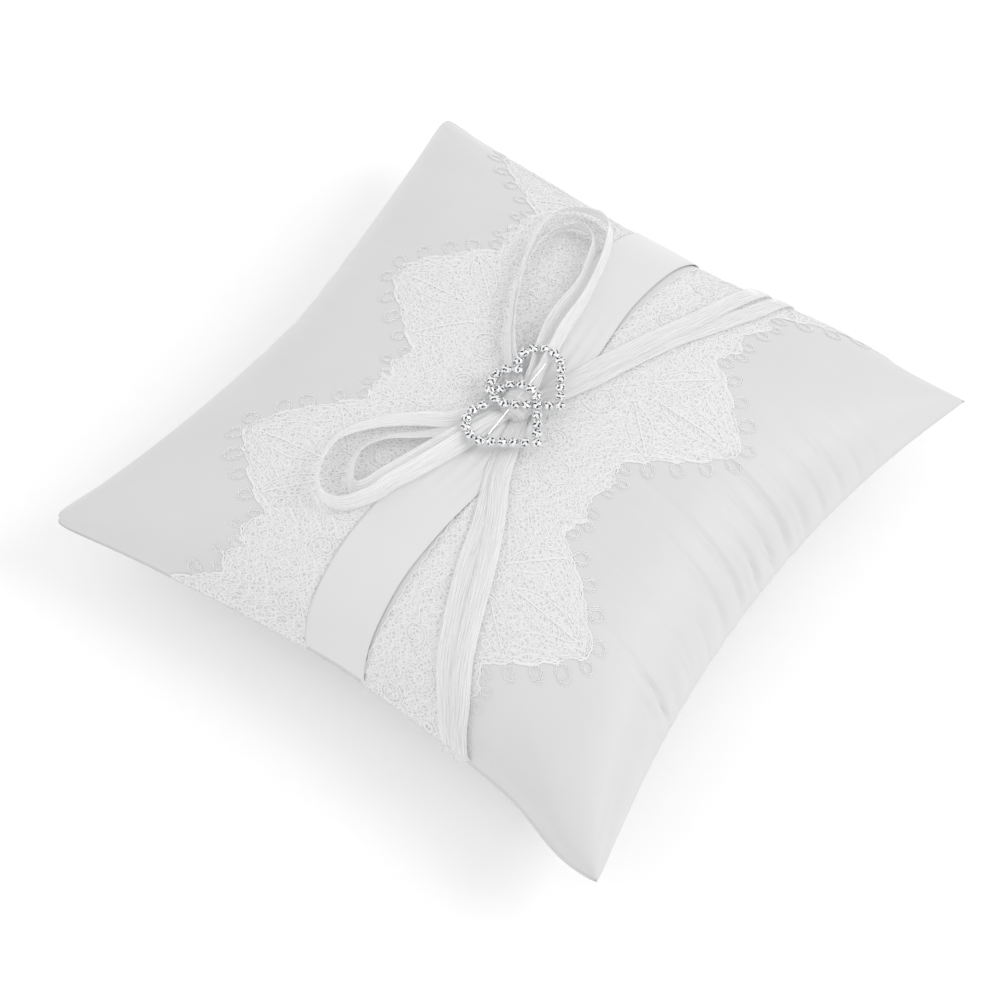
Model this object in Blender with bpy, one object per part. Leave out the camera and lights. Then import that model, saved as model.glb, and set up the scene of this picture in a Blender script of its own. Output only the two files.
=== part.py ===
"""Ring bearer pillow: a stuffed satin cushion with two lace edgings, a satin
band, a bow of narrow ribbons and a double-heart rhinestone buckle.

Metres, +Z up. X runs across the satin band and Y along it. The origin is on
the surface that the pillow rests on, below the middle of the cushion.
"""
import math

import bmesh
import bpy
from mathutils import Matrix, Vector

# Cushion
WIDTH = 0.201             # X, corner to corner
DEPTH = 0.199             # Y, corner to corner
SEAM_HEIGHT = 0.028       # height of the seam above the resting surface
CROWN = 0.0315            # rise of the front panel above the seam
BELLY = 0.0305            # drop of the back panel below the seam, before it rests
PULL_LEFT = 0.012         # how far each side pulls in between its corners
PULL_RIGHT = 0.013
PULL_NEAR = 0.010
PULL_FAR = 0.007
PLUMPNESS = 2.7           # exponent of the cushion's profile: 2 is an ellipse
TUFT_DEPTH = 0.002        # hollow where the buckle is stitched down
TUFT_RADIUS = 0.030
PANEL_THICKNESS = 0.0006
PANEL_GAP = 0.0003        # between the front and back panels at the seam
FILLING_CLEARANCE = 0.0008
PANEL_CELLS = 24
BACK_CELLS = 16           # the filling has the same cells, so it stays clear of the back

# Lace edgings
LACE_INNER = 0.009        # inner edge, from the middle of the band
LACE_VALLEY = 0.042       # outer edge between two leaves
LACE_TIP = 0.070          # outer edge at the tip of a leaf
LACE_REPEAT = 0.072       # from one leaf to the next
LACE_LEAF_Y = 0.028       # middle of one leaf
LACE_THICKNESS = 0.0008
LACE_GAP = 0.0004         # between the front panel and the lace
LACE_CELLS_ACROSS = 5
LACE_CELLS_ALONG = 44

# Satin band
BAND_WIDTH = 0.022
BAND_WAIST = 0.018        # width where the buckle gathers it
BAND_WAIST_REACH = 0.030
BAND_THICKNESS = 0.0003
BAND_CELLS_ACROSS = 2
BAND_CELLS_ALONG = 44

# Narrow ribbons
RIBBON_WIDTH = 0.006
RIBBON_PINCH = 0.0028     # width where a ribbon meets the knot
RIBBON_PINCH_REACH = 0.022
RIBBON_THICKNESS = 0.0003
LAYER_GAP = 0.0003        # between two layers of cloth that lie on each other
SPANS_PER_POINT = 3
RIBBON_LAYERS = 4         # layers of ribbon between the band and the buckle
KNOT_X = 0.0025
KNOT_Y = 0.0010
KNOT_RADIUS = 0.005
KNOT_SIDES = 20
SEAM_REACH = 0.97         # trims stop at this share of the way to the seam

# Double-heart buckle
HEART_SIDE = 0.0144       # straight side of a heart, along the stones
CLEFT_TURN = math.radians(149.25)   # where a lobe's arc ends in the cleft, from straight across
HEART_TURN = math.radians(-11.0)
UPPER_HEART = (0.0029, 0.0060)
LOWER_HEART = (0.0049, -0.0088)
RIM_WIDTH = 0.0027
RIM_HEIGHT = 0.0014
RIM_CHAMFER = 0.0003
LOWER_RIM_STEP = 0.0001   # the lower heart's rim stands this much proud
ARC_STEPS = 9
BAR_RADIUS = 0.0005
BAR_SINK = 0.0008         # how far the bar's ends run into the rims
STONES_PER_HEART = 22
STONE_RADIUS = 0.0013
STONE_BASE_RADIUS = 0.0010
STONE_TABLE_RADIUS = 0.0007
STONE_GIRDLE = 0.0006
STONE_HEIGHT = 0.0014
STONE_SIDES = 8
STONE_GAP = 0.0003

# Routes of the ribbons over the front panel, as the cloth lies: (across, along)
TAIL_UPPER_A = [(0.0080, 0.0108), (0.0120, 0.0217), (0.0201, 0.0425), (0.0284, 0.0726), (0.0313, 0.1108)]
TAIL_UPPER_B = [(0.0109, 0.0108), (0.0190, 0.0304), (0.0273, 0.0535), (0.0349, 0.0752), (0.0393, 0.1021)]
TAIL_LOWER_A = [(0.0057, -0.0089), (0.0108, -0.0258), (0.0182, -0.0435), (0.0224, -0.0601),
                (0.0272, -0.0775), (0.0328, -0.0998), (0.0395, -0.1233)]
TAIL_LOWER_B = [(0.0080, -0.0089), (0.0133, -0.0259), (0.0215, -0.0408), (0.0278, -0.0557),
                (0.0329, -0.0730), (0.0381, -0.0949), (0.0441, -0.1191)]
LOOP_UPPER_OUTER = [(-0.0056, 0.0079), (-0.0137, 0.0156), (-0.0197, 0.0243), (-0.0257, 0.0357),
                    (-0.0324, 0.0514), (-0.0368, 0.0708), (-0.0361, 0.0843), (-0.0308, 0.0953),
                    (-0.0241, 0.0982), (-0.0174, 0.0892), (-0.0108, 0.0702), (-0.0066, 0.0543),
                    (-0.0041, 0.0425), (-0.0028, 0.0312), (0.0000, 0.0162)]
LOOP_UPPER_INNER = [(-0.0062, 0.0057), (-0.0148, 0.0145), (-0.0210, 0.0243), (-0.0266, 0.0356),
                    (-0.0313, 0.0514), (-0.0324, 0.0668), (-0.0291, 0.0784), (-0.0236, 0.0817),
                    (-0.0172, 0.0743), (-0.0126, 0.0593), (-0.0099, 0.0487), (-0.0090, 0.0341),
                    (-0.0056, 0.0201)]
LOOP_LOWER_OUTER = [(-0.0055, -0.0085), (-0.0125, -0.0175), (-0.0221, -0.0243), (-0.0319, -0.0330),
                    (-0.0385, -0.0428), (-0.0390, -0.0515), (-0.0349, -0.0620), (-0.0284, -0.0687),
                    (-0.0214, -0.0676), (-0.0154, -0.0588), (-0.0133, -0.0515), (-0.0095, -0.0415),
                    (-0.0051, -0.0282), (-0.0011, -0.0131)]
LOOP_LOWER_INNER = [(-0.0046, -0.0105), (-0.0105, -0.0220), (-0.0180, -0.0304), (-0.0259, -0.0373),
                    (-0.0298, -0.0455), (-0.0276, -0.0539), (-0.0231, -0.0599), (-0.0191, -0.0579),
                    (-0.0160, -0.0491), (-0.0117, -0.0373), (-0.0073, -0.0247), (-0.0034, -0.0131)]
UPPER_TAIL_SEAM = (0.0300, 0.0380)     # where tails A and B meet the far seam
LOWER_TAIL_SEAM = (0.0455, 0.0500)     # where tails A and B meet the near seam

HALF_WIDTH = WIDTH / 2
HALF_DEPTH = DEPTH / 2
SEAM_Y = HALF_DEPTH * math.pi / 2      # the far seam, measured as the cloth lies
BAND_LIFT = LACE_GAP + LACE_THICKNESS + LAYER_GAP
SLOPE_STEP = 1e-5


def clear_scene():
    for item in list(bpy.data.objects):
        bpy.data.objects.remove(item, do_unlink=True)


def principled(name, colour, roughness, metallic=0.0):
    material = bpy.data.materials.new(name)
    material.use_nodes = True
    shader = material.node_tree.nodes["Principled BSDF"]
    shader.inputs["Base Color"].default_value = (*colour, 1.0)
    shader.inputs["Roughness"].default_value = roughness
    shader.inputs["Metallic"].default_value = metallic
    return material


def add_object(name, mesh, material, parent):
    piece = bpy.data.objects.new(name, mesh)
    bpy.context.collection.objects.link(piece)
    piece.parent = parent
    if not mesh.materials:
        mesh.materials.append(material)
    return piece


def mesh_from(name, points, faces):
    """A closed mesh with its faces turned outwards."""
    mesh = bpy.data.meshes.new(name)
    mesh.from_pydata([tuple(p) for p in points], [], faces)
    shape = bmesh.new()
    shape.from_mesh(mesh)
    bmesh.ops.recalc_face_normals(shape, faces=shape.faces)
    if shape.calc_volume(signed=True) < 0:
        bmesh.ops.reverse_faces(shape, faces=shape.faces)
    shape.to_mesh(mesh)
    shape.free()
    return mesh


# ---------------------------------------------------------------- the cushion

def panel_point(across, along, front=True, inset=0.0):
    """A point of a panel. across and along are measured as the cloth lies, from
    the panel's middle: a seam is a quarter turn of the half size away."""
    u = math.sin(across / HALF_WIDTH)
    v = math.sin(along / HALF_DEPTH)
    pull_x = PULL_LEFT if u < 0 else PULL_RIGHT
    pull_y = PULL_NEAR if v < 0 else PULL_FAR
    x = u * (HALF_WIDTH - inset - pull_x * (1 - v * v))
    y = v * (HALF_DEPTH - inset - pull_y * (1 - u * u))
    side = max(0.0, 1 - abs(u) ** PLUMPNESS) * max(0.0, 1 - abs(v) ** PLUMPNESS)
    if not front:
        drop = PANEL_GAP / 2 + (BELLY - inset) * math.sqrt(side)
        return Vector((x, y, max(inset, SEAM_HEIGHT - drop)))
    tuft = TUFT_DEPTH * math.exp(-(x * x + y * y) / TUFT_RADIUS ** 2) * side
    return Vector((x, y, SEAM_HEIGHT + PANEL_GAP / 2 + (CROWN - inset) * math.sqrt(side) - tuft))


def trim_point(across, along, lift):
    """A point held a given height off the front panel, square to it."""
    run = panel_point(across + SLOPE_STEP, along) - panel_point(across - SLOPE_STEP, along)
    rise = panel_point(across, along + SLOPE_STEP) - panel_point(across, along - SLOPE_STEP)
    return panel_point(across, along) + run.cross(rise).normalized() * lift


def seam_steps(half_size, cells):
    """Places across a panel, closer together towards its seams."""
    return [half_size * math.pi / 2 * (2 * i / cells - 1) for i in range(cells + 1)]


def panel_grid(cells, front, inset):
    columns = seam_steps(HALF_WIDTH, cells)
    rows = seam_steps(HALF_DEPTH, cells)
    return [[panel_point(across, along, front, inset) for across in columns] for along in rows]


def slab(name, upper, lower):
    """The closed solid between two grids of points with the same counts."""
    rows = len(upper)
    columns = len(upper[0])
    points = [p for row in upper for p in row] + [p for row in lower for p in row]
    below = rows * columns
    faces = []
    for r in range(rows - 1):
        for c in range(columns - 1):
            a = r * columns + c
            quad = (a, a + 1, a + columns + 1, a + columns)
            faces.append(quad)
            faces.append(tuple(below + k for k in reversed(quad)))
    border = [c for c in range(columns)]
    border += [r * columns + columns - 1 for r in range(1, rows)]
    border += [(rows - 1) * columns + c for c in range(columns - 2, -1, -1)]
    border += [r * columns for r in range(rows - 2, 0, -1)]
    for first, second in zip(border, border[1:] + border[:1]):
        faces.append((first, first + below, second + below, second))
    return mesh_from(name, points, faces)


def make_cushion(parent, satin, fibre):
    front = slab("cover_front", panel_grid(PANEL_CELLS, True, 0.0),
                 panel_grid(PANEL_CELLS, True, PANEL_THICKNESS))
    back = slab("cover_back", panel_grid(BACK_CELLS, False, 0.0),
                panel_grid(BACK_CELLS, False, PANEL_THICKNESS))
    inset = PANEL_THICKNESS + FILLING_CLEARANCE
    filling = slab("filling", panel_grid(BACK_CELLS, True, inset),
                   panel_grid(BACK_CELLS, False, inset))
    for mesh in (front, back, filling):
        mesh.shade_smooth()
    add_object("cover_front", front, satin, parent)
    add_object("cover_back", back, satin, parent)
    add_object("filling", filling, fibre, parent)


# ------------------------------------------------------------------ the trims

def lace_reach(along):
    """Distance from the band's middle to the scalloped edge of the lace."""
    y = HALF_DEPTH * math.sin(along / HALF_DEPTH)
    wave = (1 + math.cos(2 * math.pi * (y - LACE_LEAF_Y) / LACE_REPEAT)) / 2
    reach = LACE_VALLEY + (LACE_TIP - LACE_VALLEY) * wave
    return HALF_WIDTH * math.asin(min(0.95, reach / HALF_WIDTH))


def make_lace(name, side, material, parent):
    lower = []
    upper = []
    for r in range(LACE_CELLS_ALONG + 1):
        along = SEAM_Y * SEAM_REACH * (2 * r / LACE_CELLS_ALONG - 1)
        width = lace_reach(along) - LACE_INNER
        steps = [side * (LACE_INNER + width * c / LACE_CELLS_ACROSS) for c in range(LACE_CELLS_ACROSS + 1)]
        lower.append([trim_point(s, along, LACE_GAP) for s in steps])
        upper.append([trim_point(s, along, LACE_GAP + LACE_THICKNESS) for s in steps])
    add_object(name, slab(name, upper, lower), material, parent)


def make_band(material, parent):
    lower = []
    upper = []
    for r in range(BAND_CELLS_ALONG + 1):
        along = SEAM_Y * SEAM_REACH * (2 * r / BAND_CELLS_ALONG - 1)
        gather = math.exp(-(along / BAND_WAIST_REACH) ** 2)
        width = BAND_WIDTH + (BAND_WAIST - BAND_WIDTH) * gather
        steps = [width * (c / BAND_CELLS_ACROSS - 0.5) for c in range(BAND_CELLS_ACROSS + 1)]
        lower.append([trim_point(s, along, BAND_LIFT) for s in steps])
        upper.append([trim_point(s, along, BAND_LIFT + BAND_THICKNESS) for s in steps])
    add_object("satin_band", slab("satin_band", upper, lower), material, parent)


def ribbon_lift(layer):
    """Underside of a layer of ribbon, above the front panel."""
    return BAND_LIFT + BAND_THICKNESS + LAYER_GAP + layer * (RIBBON_THICKNESS + LAYER_GAP)


def smooth_route(points):
    """Catmull-Rom curve through the route's own points."""
    ends = [points[0]] + list(points) + [points[-1]]
    route = []
    for p0, p1, p2, p3 in zip(ends, ends[1:], ends[2:], ends[3:]):
        for k in range(SPANS_PER_POINT):
            t = k / SPANS_PER_POINT
            route.append(tuple(
                b + 0.5 * t * (c - a + t * (2 * a - 5 * b + 4 * c - d + t * (3 * b - a - 3 * c + d)))
                for a, b, c, d in zip(p0, p1, p2, p3)))
    return route + [tuple(points[-1])]


def knot_edge(toward):
    """Where a ribbon that runs towards a point leaves the knot."""
    radius = KNOT_RADIUS + LAYER_GAP
    dx = toward[0] - KNOT_X
    dy = toward[1] - KNOT_Y
    reach = radius / math.hypot(dx, dy)
    run = panel_point(KNOT_X + dx * reach, KNOT_Y + dy * reach) - panel_point(KNOT_X, KNOT_Y)
    reach *= radius / math.hypot(run.x, run.y)
    return KNOT_X + dx * reach, KNOT_Y + dy * reach


def knotted_route(points, loop):
    """The route with its start, and a loop's end, brought to the knot's edge."""
    ends = [knot_edge(points[-1])] if loop else []
    return smooth_route([knot_edge(points[0])] + list(points) + ends)


def make_ribbon(name, points, loop, layers, material, parent):
    """One ribbon, which eases from its first layer to its last on the way."""
    route = knotted_route(points, loop)
    last = len(route) - 1
    lower = []
    upper = []
    for i, (across, along) in enumerate(route):
        share = i / last
        lift = ribbon_lift(layers[0] + (layers[1] - layers[0]) * share * share * (3 - 2 * share))
        middle = trim_point(across, along, lift)
        before = trim_point(*route[max(0, i - 1)], lift)
        after = trim_point(*route[min(last, i + 1)], lift)
        up = (trim_point(across, along, lift + LAYER_GAP) - middle).normalized()
        side = up.cross(after - before).normalized()
        from_knot = math.hypot(across - KNOT_X, along - KNOT_Y) - KNOT_RADIUS
        spread = min(1.0, from_knot / RIBBON_PINCH_REACH)
        half = (RIBBON_PINCH + (RIBBON_WIDTH - RIBBON_PINCH) * spread) / 2
        lower.append([middle + side * half, middle - side * half])
        upper.append([p + up * RIBBON_THICKNESS for p in lower[-1]])
    add_object(name, slab(name, upper, lower), material, parent)


def make_knot(material, parent):
    """The folded middle of the bow, a low round pad of wrapped ribbon."""
    floor = trim_point(KNOT_X, KNOT_Y, ribbon_lift(0))
    height = ribbon_lift(RIBBON_LAYERS) - ribbon_lift(0) - LAYER_GAP
    shape = bmesh.new()
    bmesh.ops.create_cone(shape, cap_ends=True, segments=KNOT_SIDES, radius1=KNOT_RADIUS,
                          radius2=KNOT_RADIUS, depth=height)
    bmesh.ops.bevel(shape, geom=[e for e in shape.edges if abs(e.verts[0].co.z - e.verts[1].co.z) < 1e-6],
                    offset=height / 4, segments=2, affect="EDGES", profile=0.5)
    mesh = bpy.data.meshes.new("bow_knot")
    shape.to_mesh(mesh)
    shape.free()
    knot = add_object("bow_knot", mesh, material, parent)
    knot.location = (floor.x, floor.y, floor.z + height / 2)


def make_ribbons(material, parent):
    seam = SEAM_Y * SEAM_REACH
    tails = (
        ("ribbon_tail_upper_a", TAIL_UPPER_A, (UPPER_TAIL_SEAM[0], seam), (1, 1)),
        ("ribbon_tail_upper_b", TAIL_UPPER_B, (UPPER_TAIL_SEAM[1], seam), (0, 0)),
        ("ribbon_tail_lower_a", TAIL_LOWER_A, (LOWER_TAIL_SEAM[0], -seam), (0, 0)),
        ("ribbon_tail_lower_b", TAIL_LOWER_B, (LOWER_TAIL_SEAM[1], -seam), (1, 1)),
    )
    loops = (
        ("ribbon_loop_upper_outer", LOOP_UPPER_OUTER, (2, 3)),
        ("ribbon_loop_upper_inner", LOOP_UPPER_INNER, (0, 1)),
        ("ribbon_loop_lower_outer", LOOP_LOWER_OUTER, (2, 3)),
        ("ribbon_loop_lower_inner", LOOP_LOWER_INNER, (0, 1)),
    )
    for name, points, end, layers in tails:
        make_ribbon(name, points + [end], False, layers, material, parent)
    for name, points, layers in loops:
        make_ribbon(name, points, True, layers, material, parent)
    make_knot(material, parent)


# ----------------------------------------------------------------- the buckle

LOBE_RADIUS = HEART_SIDE / (1 - math.sqrt(2) * math.cos(CLEFT_TURN))
LOBE_X = (HEART_SIDE - LOBE_RADIUS) / math.sqrt(2)
LOBE_Y = (HEART_SIDE + LOBE_RADIUS) / math.sqrt(2)
HEART_LENGTH = LOBE_Y + LOBE_RADIUS
LOBE_START = -math.pi / 4


def heart_half(offset):
    """Right half of a heart from its tip to its cleft, moved out by an offset."""
    corner = HEART_SIDE / math.sqrt(2)
    slant = offset / math.sqrt(2)
    radius = LOBE_RADIUS + offset
    end = math.acos(-LOBE_X / radius) if offset > 0 else CLEFT_TURN
    half = [(0.0, -2 * slant), (corner + slant, corner - slant)]
    for i in range(1, ARC_STEPS):
        turn = LOBE_START + (end - LOBE_START) * i / ARC_STEPS
        half.append((LOBE_X + radius * math.cos(turn), LOBE_Y + radius * math.sin(turn)))
    cleft = LOBE_Y + LOBE_RADIUS * math.sin(CLEFT_TURN) + offset
    if offset > 0:
        cleft = LOBE_Y + radius * math.sin(end)
    return half + [(0.0, cleft)]


def heart_outline(offset):
    half = heart_half(offset)
    return half + [(-x, y) for x, y in reversed(half[1:-1])]


def heart_to_pillow(point, centre):
    """Heart coordinates, tip at the origin, turned so that the tip points to +X."""
    ahead = HEART_LENGTH / 2 - point[1]
    x = centre[0] + ahead * math.cos(HEART_TURN) - point[0] * math.sin(HEART_TURN)
    y = centre[1] + ahead * math.sin(HEART_TURN) + point[0] * math.cos(HEART_TURN)
    return x, y


def rim_mesh(name, centre, height):
    """A heart-shaped rim with a chamfered top, standing on z = 0."""
    half = RIM_WIDTH / 2
    section = ((half, 0.0), (half, height - RIM_CHAMFER), (half - RIM_CHAMFER, height),
               (RIM_CHAMFER - half, height), (-half, height - RIM_CHAMFER), (-half, 0.0))
    rings = []
    for offset, z in section:
        rings.append([(*heart_to_pillow(p, centre), z) for p in heart_outline(offset)])
    count = len(rings[0])
    faces = []
    for k in range(len(section)):
        after = (k + 1) % len(section)
        for i in range(count):
            j = (i + 1) % count
            faces.append((k * count + i, k * count + j, after * count + j, after * count + i))
    return mesh_from(name, [p for ring in rings for p in ring], faces)


def stone_place(distance, half_length):
    """The point at a distance from the tip, measured along the heart's line."""
    side = 1.0
    if distance > half_length:
        distance = 2 * half_length - distance
        side = -1.0
    if distance <= HEART_SIDE:
        return side * distance / math.sqrt(2), distance / math.sqrt(2)
    turn = LOBE_START + (distance - HEART_SIDE) / LOBE_RADIUS
    return side * (LOBE_X + LOBE_RADIUS * math.cos(turn)), LOBE_Y + LOBE_RADIUS * math.sin(turn)


def stone_places():
    """Stones of both hearts. Where the rims cross, the hearts share a stone."""
    half_length = HEART_SIDE + LOBE_RADIUS * (CLEFT_TURN - LOBE_START)
    pitch = 2 * half_length / STONES_PER_HEART
    places = []
    for centre in (UPPER_HEART, LOWER_HEART):
        for i in range(STONES_PER_HEART):
            place = heart_to_pillow(stone_place(i * pitch, half_length), centre)
            if all(math.dist(place, other) > 2 * STONE_RADIUS + STONE_GAP for other in places):
                places.append(place)
    return places


def stone_mesh():
    """A round flat-backed stone with a faceted crown."""
    rings = ((STONE_BASE_RADIUS, 0.0), (STONE_RADIUS, STONE_GIRDLE), (STONE_TABLE_RADIUS, STONE_HEIGHT))
    points = []
    for k, (radius, z) in enumerate(rings):
        for i in range(STONE_SIDES):
            turn = 2 * math.pi * (i + (k == 2) / 2) / STONE_SIDES
            points.append((radius * math.cos(turn), radius * math.sin(turn), z))
    n = STONE_SIDES
    faces = [tuple(range(n)), tuple(range(2 * n, 3 * n))]
    for i in range(n):
        j = (i + 1) % n
        faces.append((i, j, n + j, n + i))
        faces.append((n + i, n + j, 2 * n + i))
        faces.append((n + j, 2 * n + j, 2 * n + i))
    return mesh_from("rhinestone", points, faces)


def buckle_height():
    """The buckle lies flat on the highest cloth that its rims pass over."""
    top = 0.0
    for centre in (UPPER_HEART, LOWER_HEART):
        for offset in (-RIM_WIDTH / 2, RIM_WIDTH / 2):
            for p in heart_outline(offset):
                top = max(top, trim_point(*heart_to_pillow(p, centre), ribbon_lift(RIBBON_LAYERS)).z)
    return top


def bar_end(centre, side):
    """Where the bar meets the rim, on the lobe side of a heart's widest place."""
    return heart_to_pillow((side * (LOBE_X + LOBE_RADIUS - RIM_WIDTH / 2 + BAR_SINK), LOBE_Y - LOBE_RADIUS / 2),
                           centre)


def bar_mesh(start, end):
    """A thin round bar between two points at the middle of the rims' height."""
    low = Vector((*start, RIM_HEIGHT / 2))
    high = Vector((*end, RIM_HEIGHT / 2))
    shape = bmesh.new()
    turn = (high - low).to_track_quat("Z", "Y").to_matrix().to_4x4()
    bmesh.ops.create_cone(shape, cap_ends=True, segments=8, radius1=BAR_RADIUS, radius2=BAR_RADIUS,
                          depth=(high - low).length, matrix=Matrix.Translation((low + high) / 2) @ turn)
    mesh = bpy.data.meshes.new("bar")
    shape.to_mesh(mesh)
    shape.free()
    return mesh


def join_solid(piece, guide):
    """Adds a guide's solid to a piece, and leaves the guide out of the model."""
    guide.hide_render = True
    guide.display_type = "WIRE"
    union = piece.modifiers.new("join", "BOOLEAN")
    union.operation = "UNION"
    union.solver = "EXACT"
    union.object = guide


def make_buckle(silver, crystal, parent):
    base = buckle_height()
    buckle = add_object("buckle", rim_mesh("buckle", UPPER_HEART, RIM_HEIGHT), silver, parent)
    lower = add_object("buckle_lower_guide", rim_mesh("lower_rim", LOWER_HEART, RIM_HEIGHT + LOWER_RIM_STEP),
                       silver, parent)
    bar = add_object("buckle_bar_guide", bar_mesh(bar_end(LOWER_HEART, -1), bar_end(UPPER_HEART, 1)),
                     silver, parent)
    for piece in (buckle, lower, bar):
        piece.location.z = base
    lower.location.z = base - LOWER_RIM_STEP / 2
    join_solid(buckle, lower)
    join_solid(buckle, bar)
    stone = stone_mesh()
    seat = base + RIM_HEIGHT + LOWER_RIM_STEP + STONE_GAP
    for i, (x, y) in enumerate(stone_places()):
        gem = add_object(f"rhinestone_{i + 1:02d}", stone, crystal, parent)
        gem.location = (x, y, seat)


def main():
    clear_scene()
    satin = principled("satin", (0.90, 0.90, 0.89), 0.38)
    fibre = principled("fibrefill", (0.86, 0.86, 0.84), 0.95)
    lace = principled("lace", (0.91, 0.91, 0.90), 0.85)
    ribbon = principled("ribbon", (0.91, 0.91, 0.90), 0.42)
    silver = principled("silver", (0.82, 0.83, 0.85), 0.22, 1.0)
    crystal = principled("crystal", (0.95, 0.96, 0.98), 0.03)
    pillow = bpy.data.objects.new("pillow", None)
    bpy.context.collection.objects.link(pillow)
    make_cushion(pillow, satin, fibre)
    make_lace("lace_left", -1, lace, pillow)
    make_lace("lace_right", 1, lace, pillow)
    make_band(satin, pillow)
    make_ribbons(ribbon, pillow)
    make_buckle(silver, crystal, pillow)


main()
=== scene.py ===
"""Looks of a ring bearer pillow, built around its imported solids.

Metres, +Z up, in the frame of the solids. The cushion and everything on it share
one surface: a point is given by how far across (X) and along (Y) the cloth it
lies, from the panel's middle, and by its height off the panel.
"""
import math

import bpy
import numpy as np
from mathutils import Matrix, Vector


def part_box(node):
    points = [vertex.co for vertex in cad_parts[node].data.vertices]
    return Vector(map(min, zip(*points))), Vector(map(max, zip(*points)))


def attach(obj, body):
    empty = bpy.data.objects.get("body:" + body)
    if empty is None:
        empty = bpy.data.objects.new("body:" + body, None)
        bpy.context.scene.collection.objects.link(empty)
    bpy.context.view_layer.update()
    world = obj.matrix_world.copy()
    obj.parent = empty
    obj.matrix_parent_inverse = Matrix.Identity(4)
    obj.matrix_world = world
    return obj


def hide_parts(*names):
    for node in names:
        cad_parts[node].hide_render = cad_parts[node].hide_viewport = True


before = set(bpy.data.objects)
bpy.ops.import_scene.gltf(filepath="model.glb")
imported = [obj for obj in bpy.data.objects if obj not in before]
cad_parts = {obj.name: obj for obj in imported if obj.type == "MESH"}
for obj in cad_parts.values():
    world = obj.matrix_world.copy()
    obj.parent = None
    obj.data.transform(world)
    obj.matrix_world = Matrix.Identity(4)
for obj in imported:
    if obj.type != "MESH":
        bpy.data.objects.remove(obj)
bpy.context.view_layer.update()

# Sizes that the solids give
FRONT_LOW, FRONT_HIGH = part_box("cover_front")
HALF_WIDTH = (FRONT_HIGH.x - FRONT_LOW.x) / 2
HALF_DEPTH = (FRONT_HIGH.y - FRONT_LOW.y) / 2
SEAM_HEIGHT = FRONT_LOW.z

# Cushion, close to the solids' shape
CROWN = 0.0315
BELLY = 0.0305
PULL_LEFT = 0.013
PULL_RIGHT = 0.0134
PULL_NEAR = 0.0103
PULL_FAR = 0.0055
PLUMPNESS = 2.7
TUFT_DEPTH = 0.002
TUFT_RADIUS = 0.030

# Cushion, finer than the solids
# Each corner: how far it reaches out, how much it is rounded, how full it is
CORNERS = {
    (-1, -1): (0.033, 0.046, 0.03),
    (-1, 1): (0.026, 0.024, 0.08),
    (1, -1): (0.004, 0.009, 0.17),
    (1, 1): (0.016, 0.006, 0.10),
}
CORNER_REACH_SHARPNESS = 6
CORNER_ROUND_SHARPNESS = 30
# Fuller parts of two sides: height, place and spread
FAR_BULGE = (0.0042, 0.56, 0.30)
NEAR_BULGE = (0.0030, 0.86, 0.13)
LEFT_PULL_EASE = 0.50         # how much less the left side pulls in towards the far corner
NEAR_PULL_EASE = 0.45         # how much less the near side pulls in towards the left corner
SEAM_HOLD = 0.85              # how much the seam flattens the folds that it gathers
SEAM_HOLD_REACH = 0.014
SEAM_GROOVE = 0.0010
SEAM_GROOVE_WIDTH = 0.0011
SIM_CELLS = 72
SIM_FRAMES = 20
SIM_INSET = 0.0012
SIM_CAP = 0.0035              # the most that a point may move
SIM_SPARE_REACH = 0.030
# The seams' spare cloth is a shrinkage below nought
SIM_CLOTH = {
    "quality": 6, "mass": 0.15, "tension_stiffness": 20, "compression_stiffness": 12,
    "shear_stiffness": 6, "bending_stiffness": 0.02, "use_pressure": True,
    "uniform_pressure_force": 4.0, "shrink_min": 0.0, "shrink_max": -0.035,
}
STITCHED_RADIUS = 0.016
STITCHED_HOLD = 0.9
SURFACE_LIMIT = 0.985         # share of the way to the seam where a panel's slope is still read
FLOOR_CLEARANCE = 0.0002
PANEL_CELLS = 220
DENSE_ROWS = (-0.055, 0.070, 2.0)     # where the folds are, and how much closer the rows lie there
FINE_SEAM_STEPS = (0.0, 0.0005, 0.0010, 0.0016, 0.0024, 0.0034)
FOLD_WIDTH = 0.40             # sharpness of a fold: less is narrower
FOLD_UNEVENNESS = 0.28        # how much the folds' lengths differ
# Folds gathered by the seams: side, middle, spread, pitch, depth, length, lean
RIGHT_GATHERS = (
    ("right", 0.012, 0.044, 0.0092, 0.00175, 0.064, 0.06),
    ("right", 0.010, 0.040, 0.0053, 0.00040, 0.060, 0.05),
    ("right", -0.050, 0.014, 0.0064, 0.00150, 0.040, 0.04),
    ("right", -0.016, 0.016, 0.0120, 0.00060, 0.060, 0.08),
)
GATHERS = RIGHT_GATHERS + (
    ("left", 0.010, 0.050, 0.0130, 0.00030, 0.040, -0.05),
    ("near", -0.030, 0.030, 0.0095, 0.00035, 0.030, 0.05),
    ("near", 0.055, 0.025, 0.0110, 0.00035, 0.034, -0.05),
    ("far", 0.060, 0.025, 0.0100, 0.00035, 0.030, 0.05),
    ("far", -0.020, 0.040, 0.0120, 0.00025, 0.030, 0.0),
)
BACK_GATHERS = RIGHT_GATHERS + (
    ("left", 0.005, 0.055, 0.0110, 0.00060, 0.045, -0.05),
    ("near", 0.000, 0.055, 0.0105, 0.00060, 0.045, 0.05),
    ("far", 0.000, 0.055, 0.0115, 0.00060, 0.045, -0.05),
)

# Camera
CAMERA_PLACE = (0.2192, -0.3090, 0.5926)
CAMERA_TARGET = (0.0052, -0.0146, 0.0280)
CAMERA_LENS = 79.31

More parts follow.
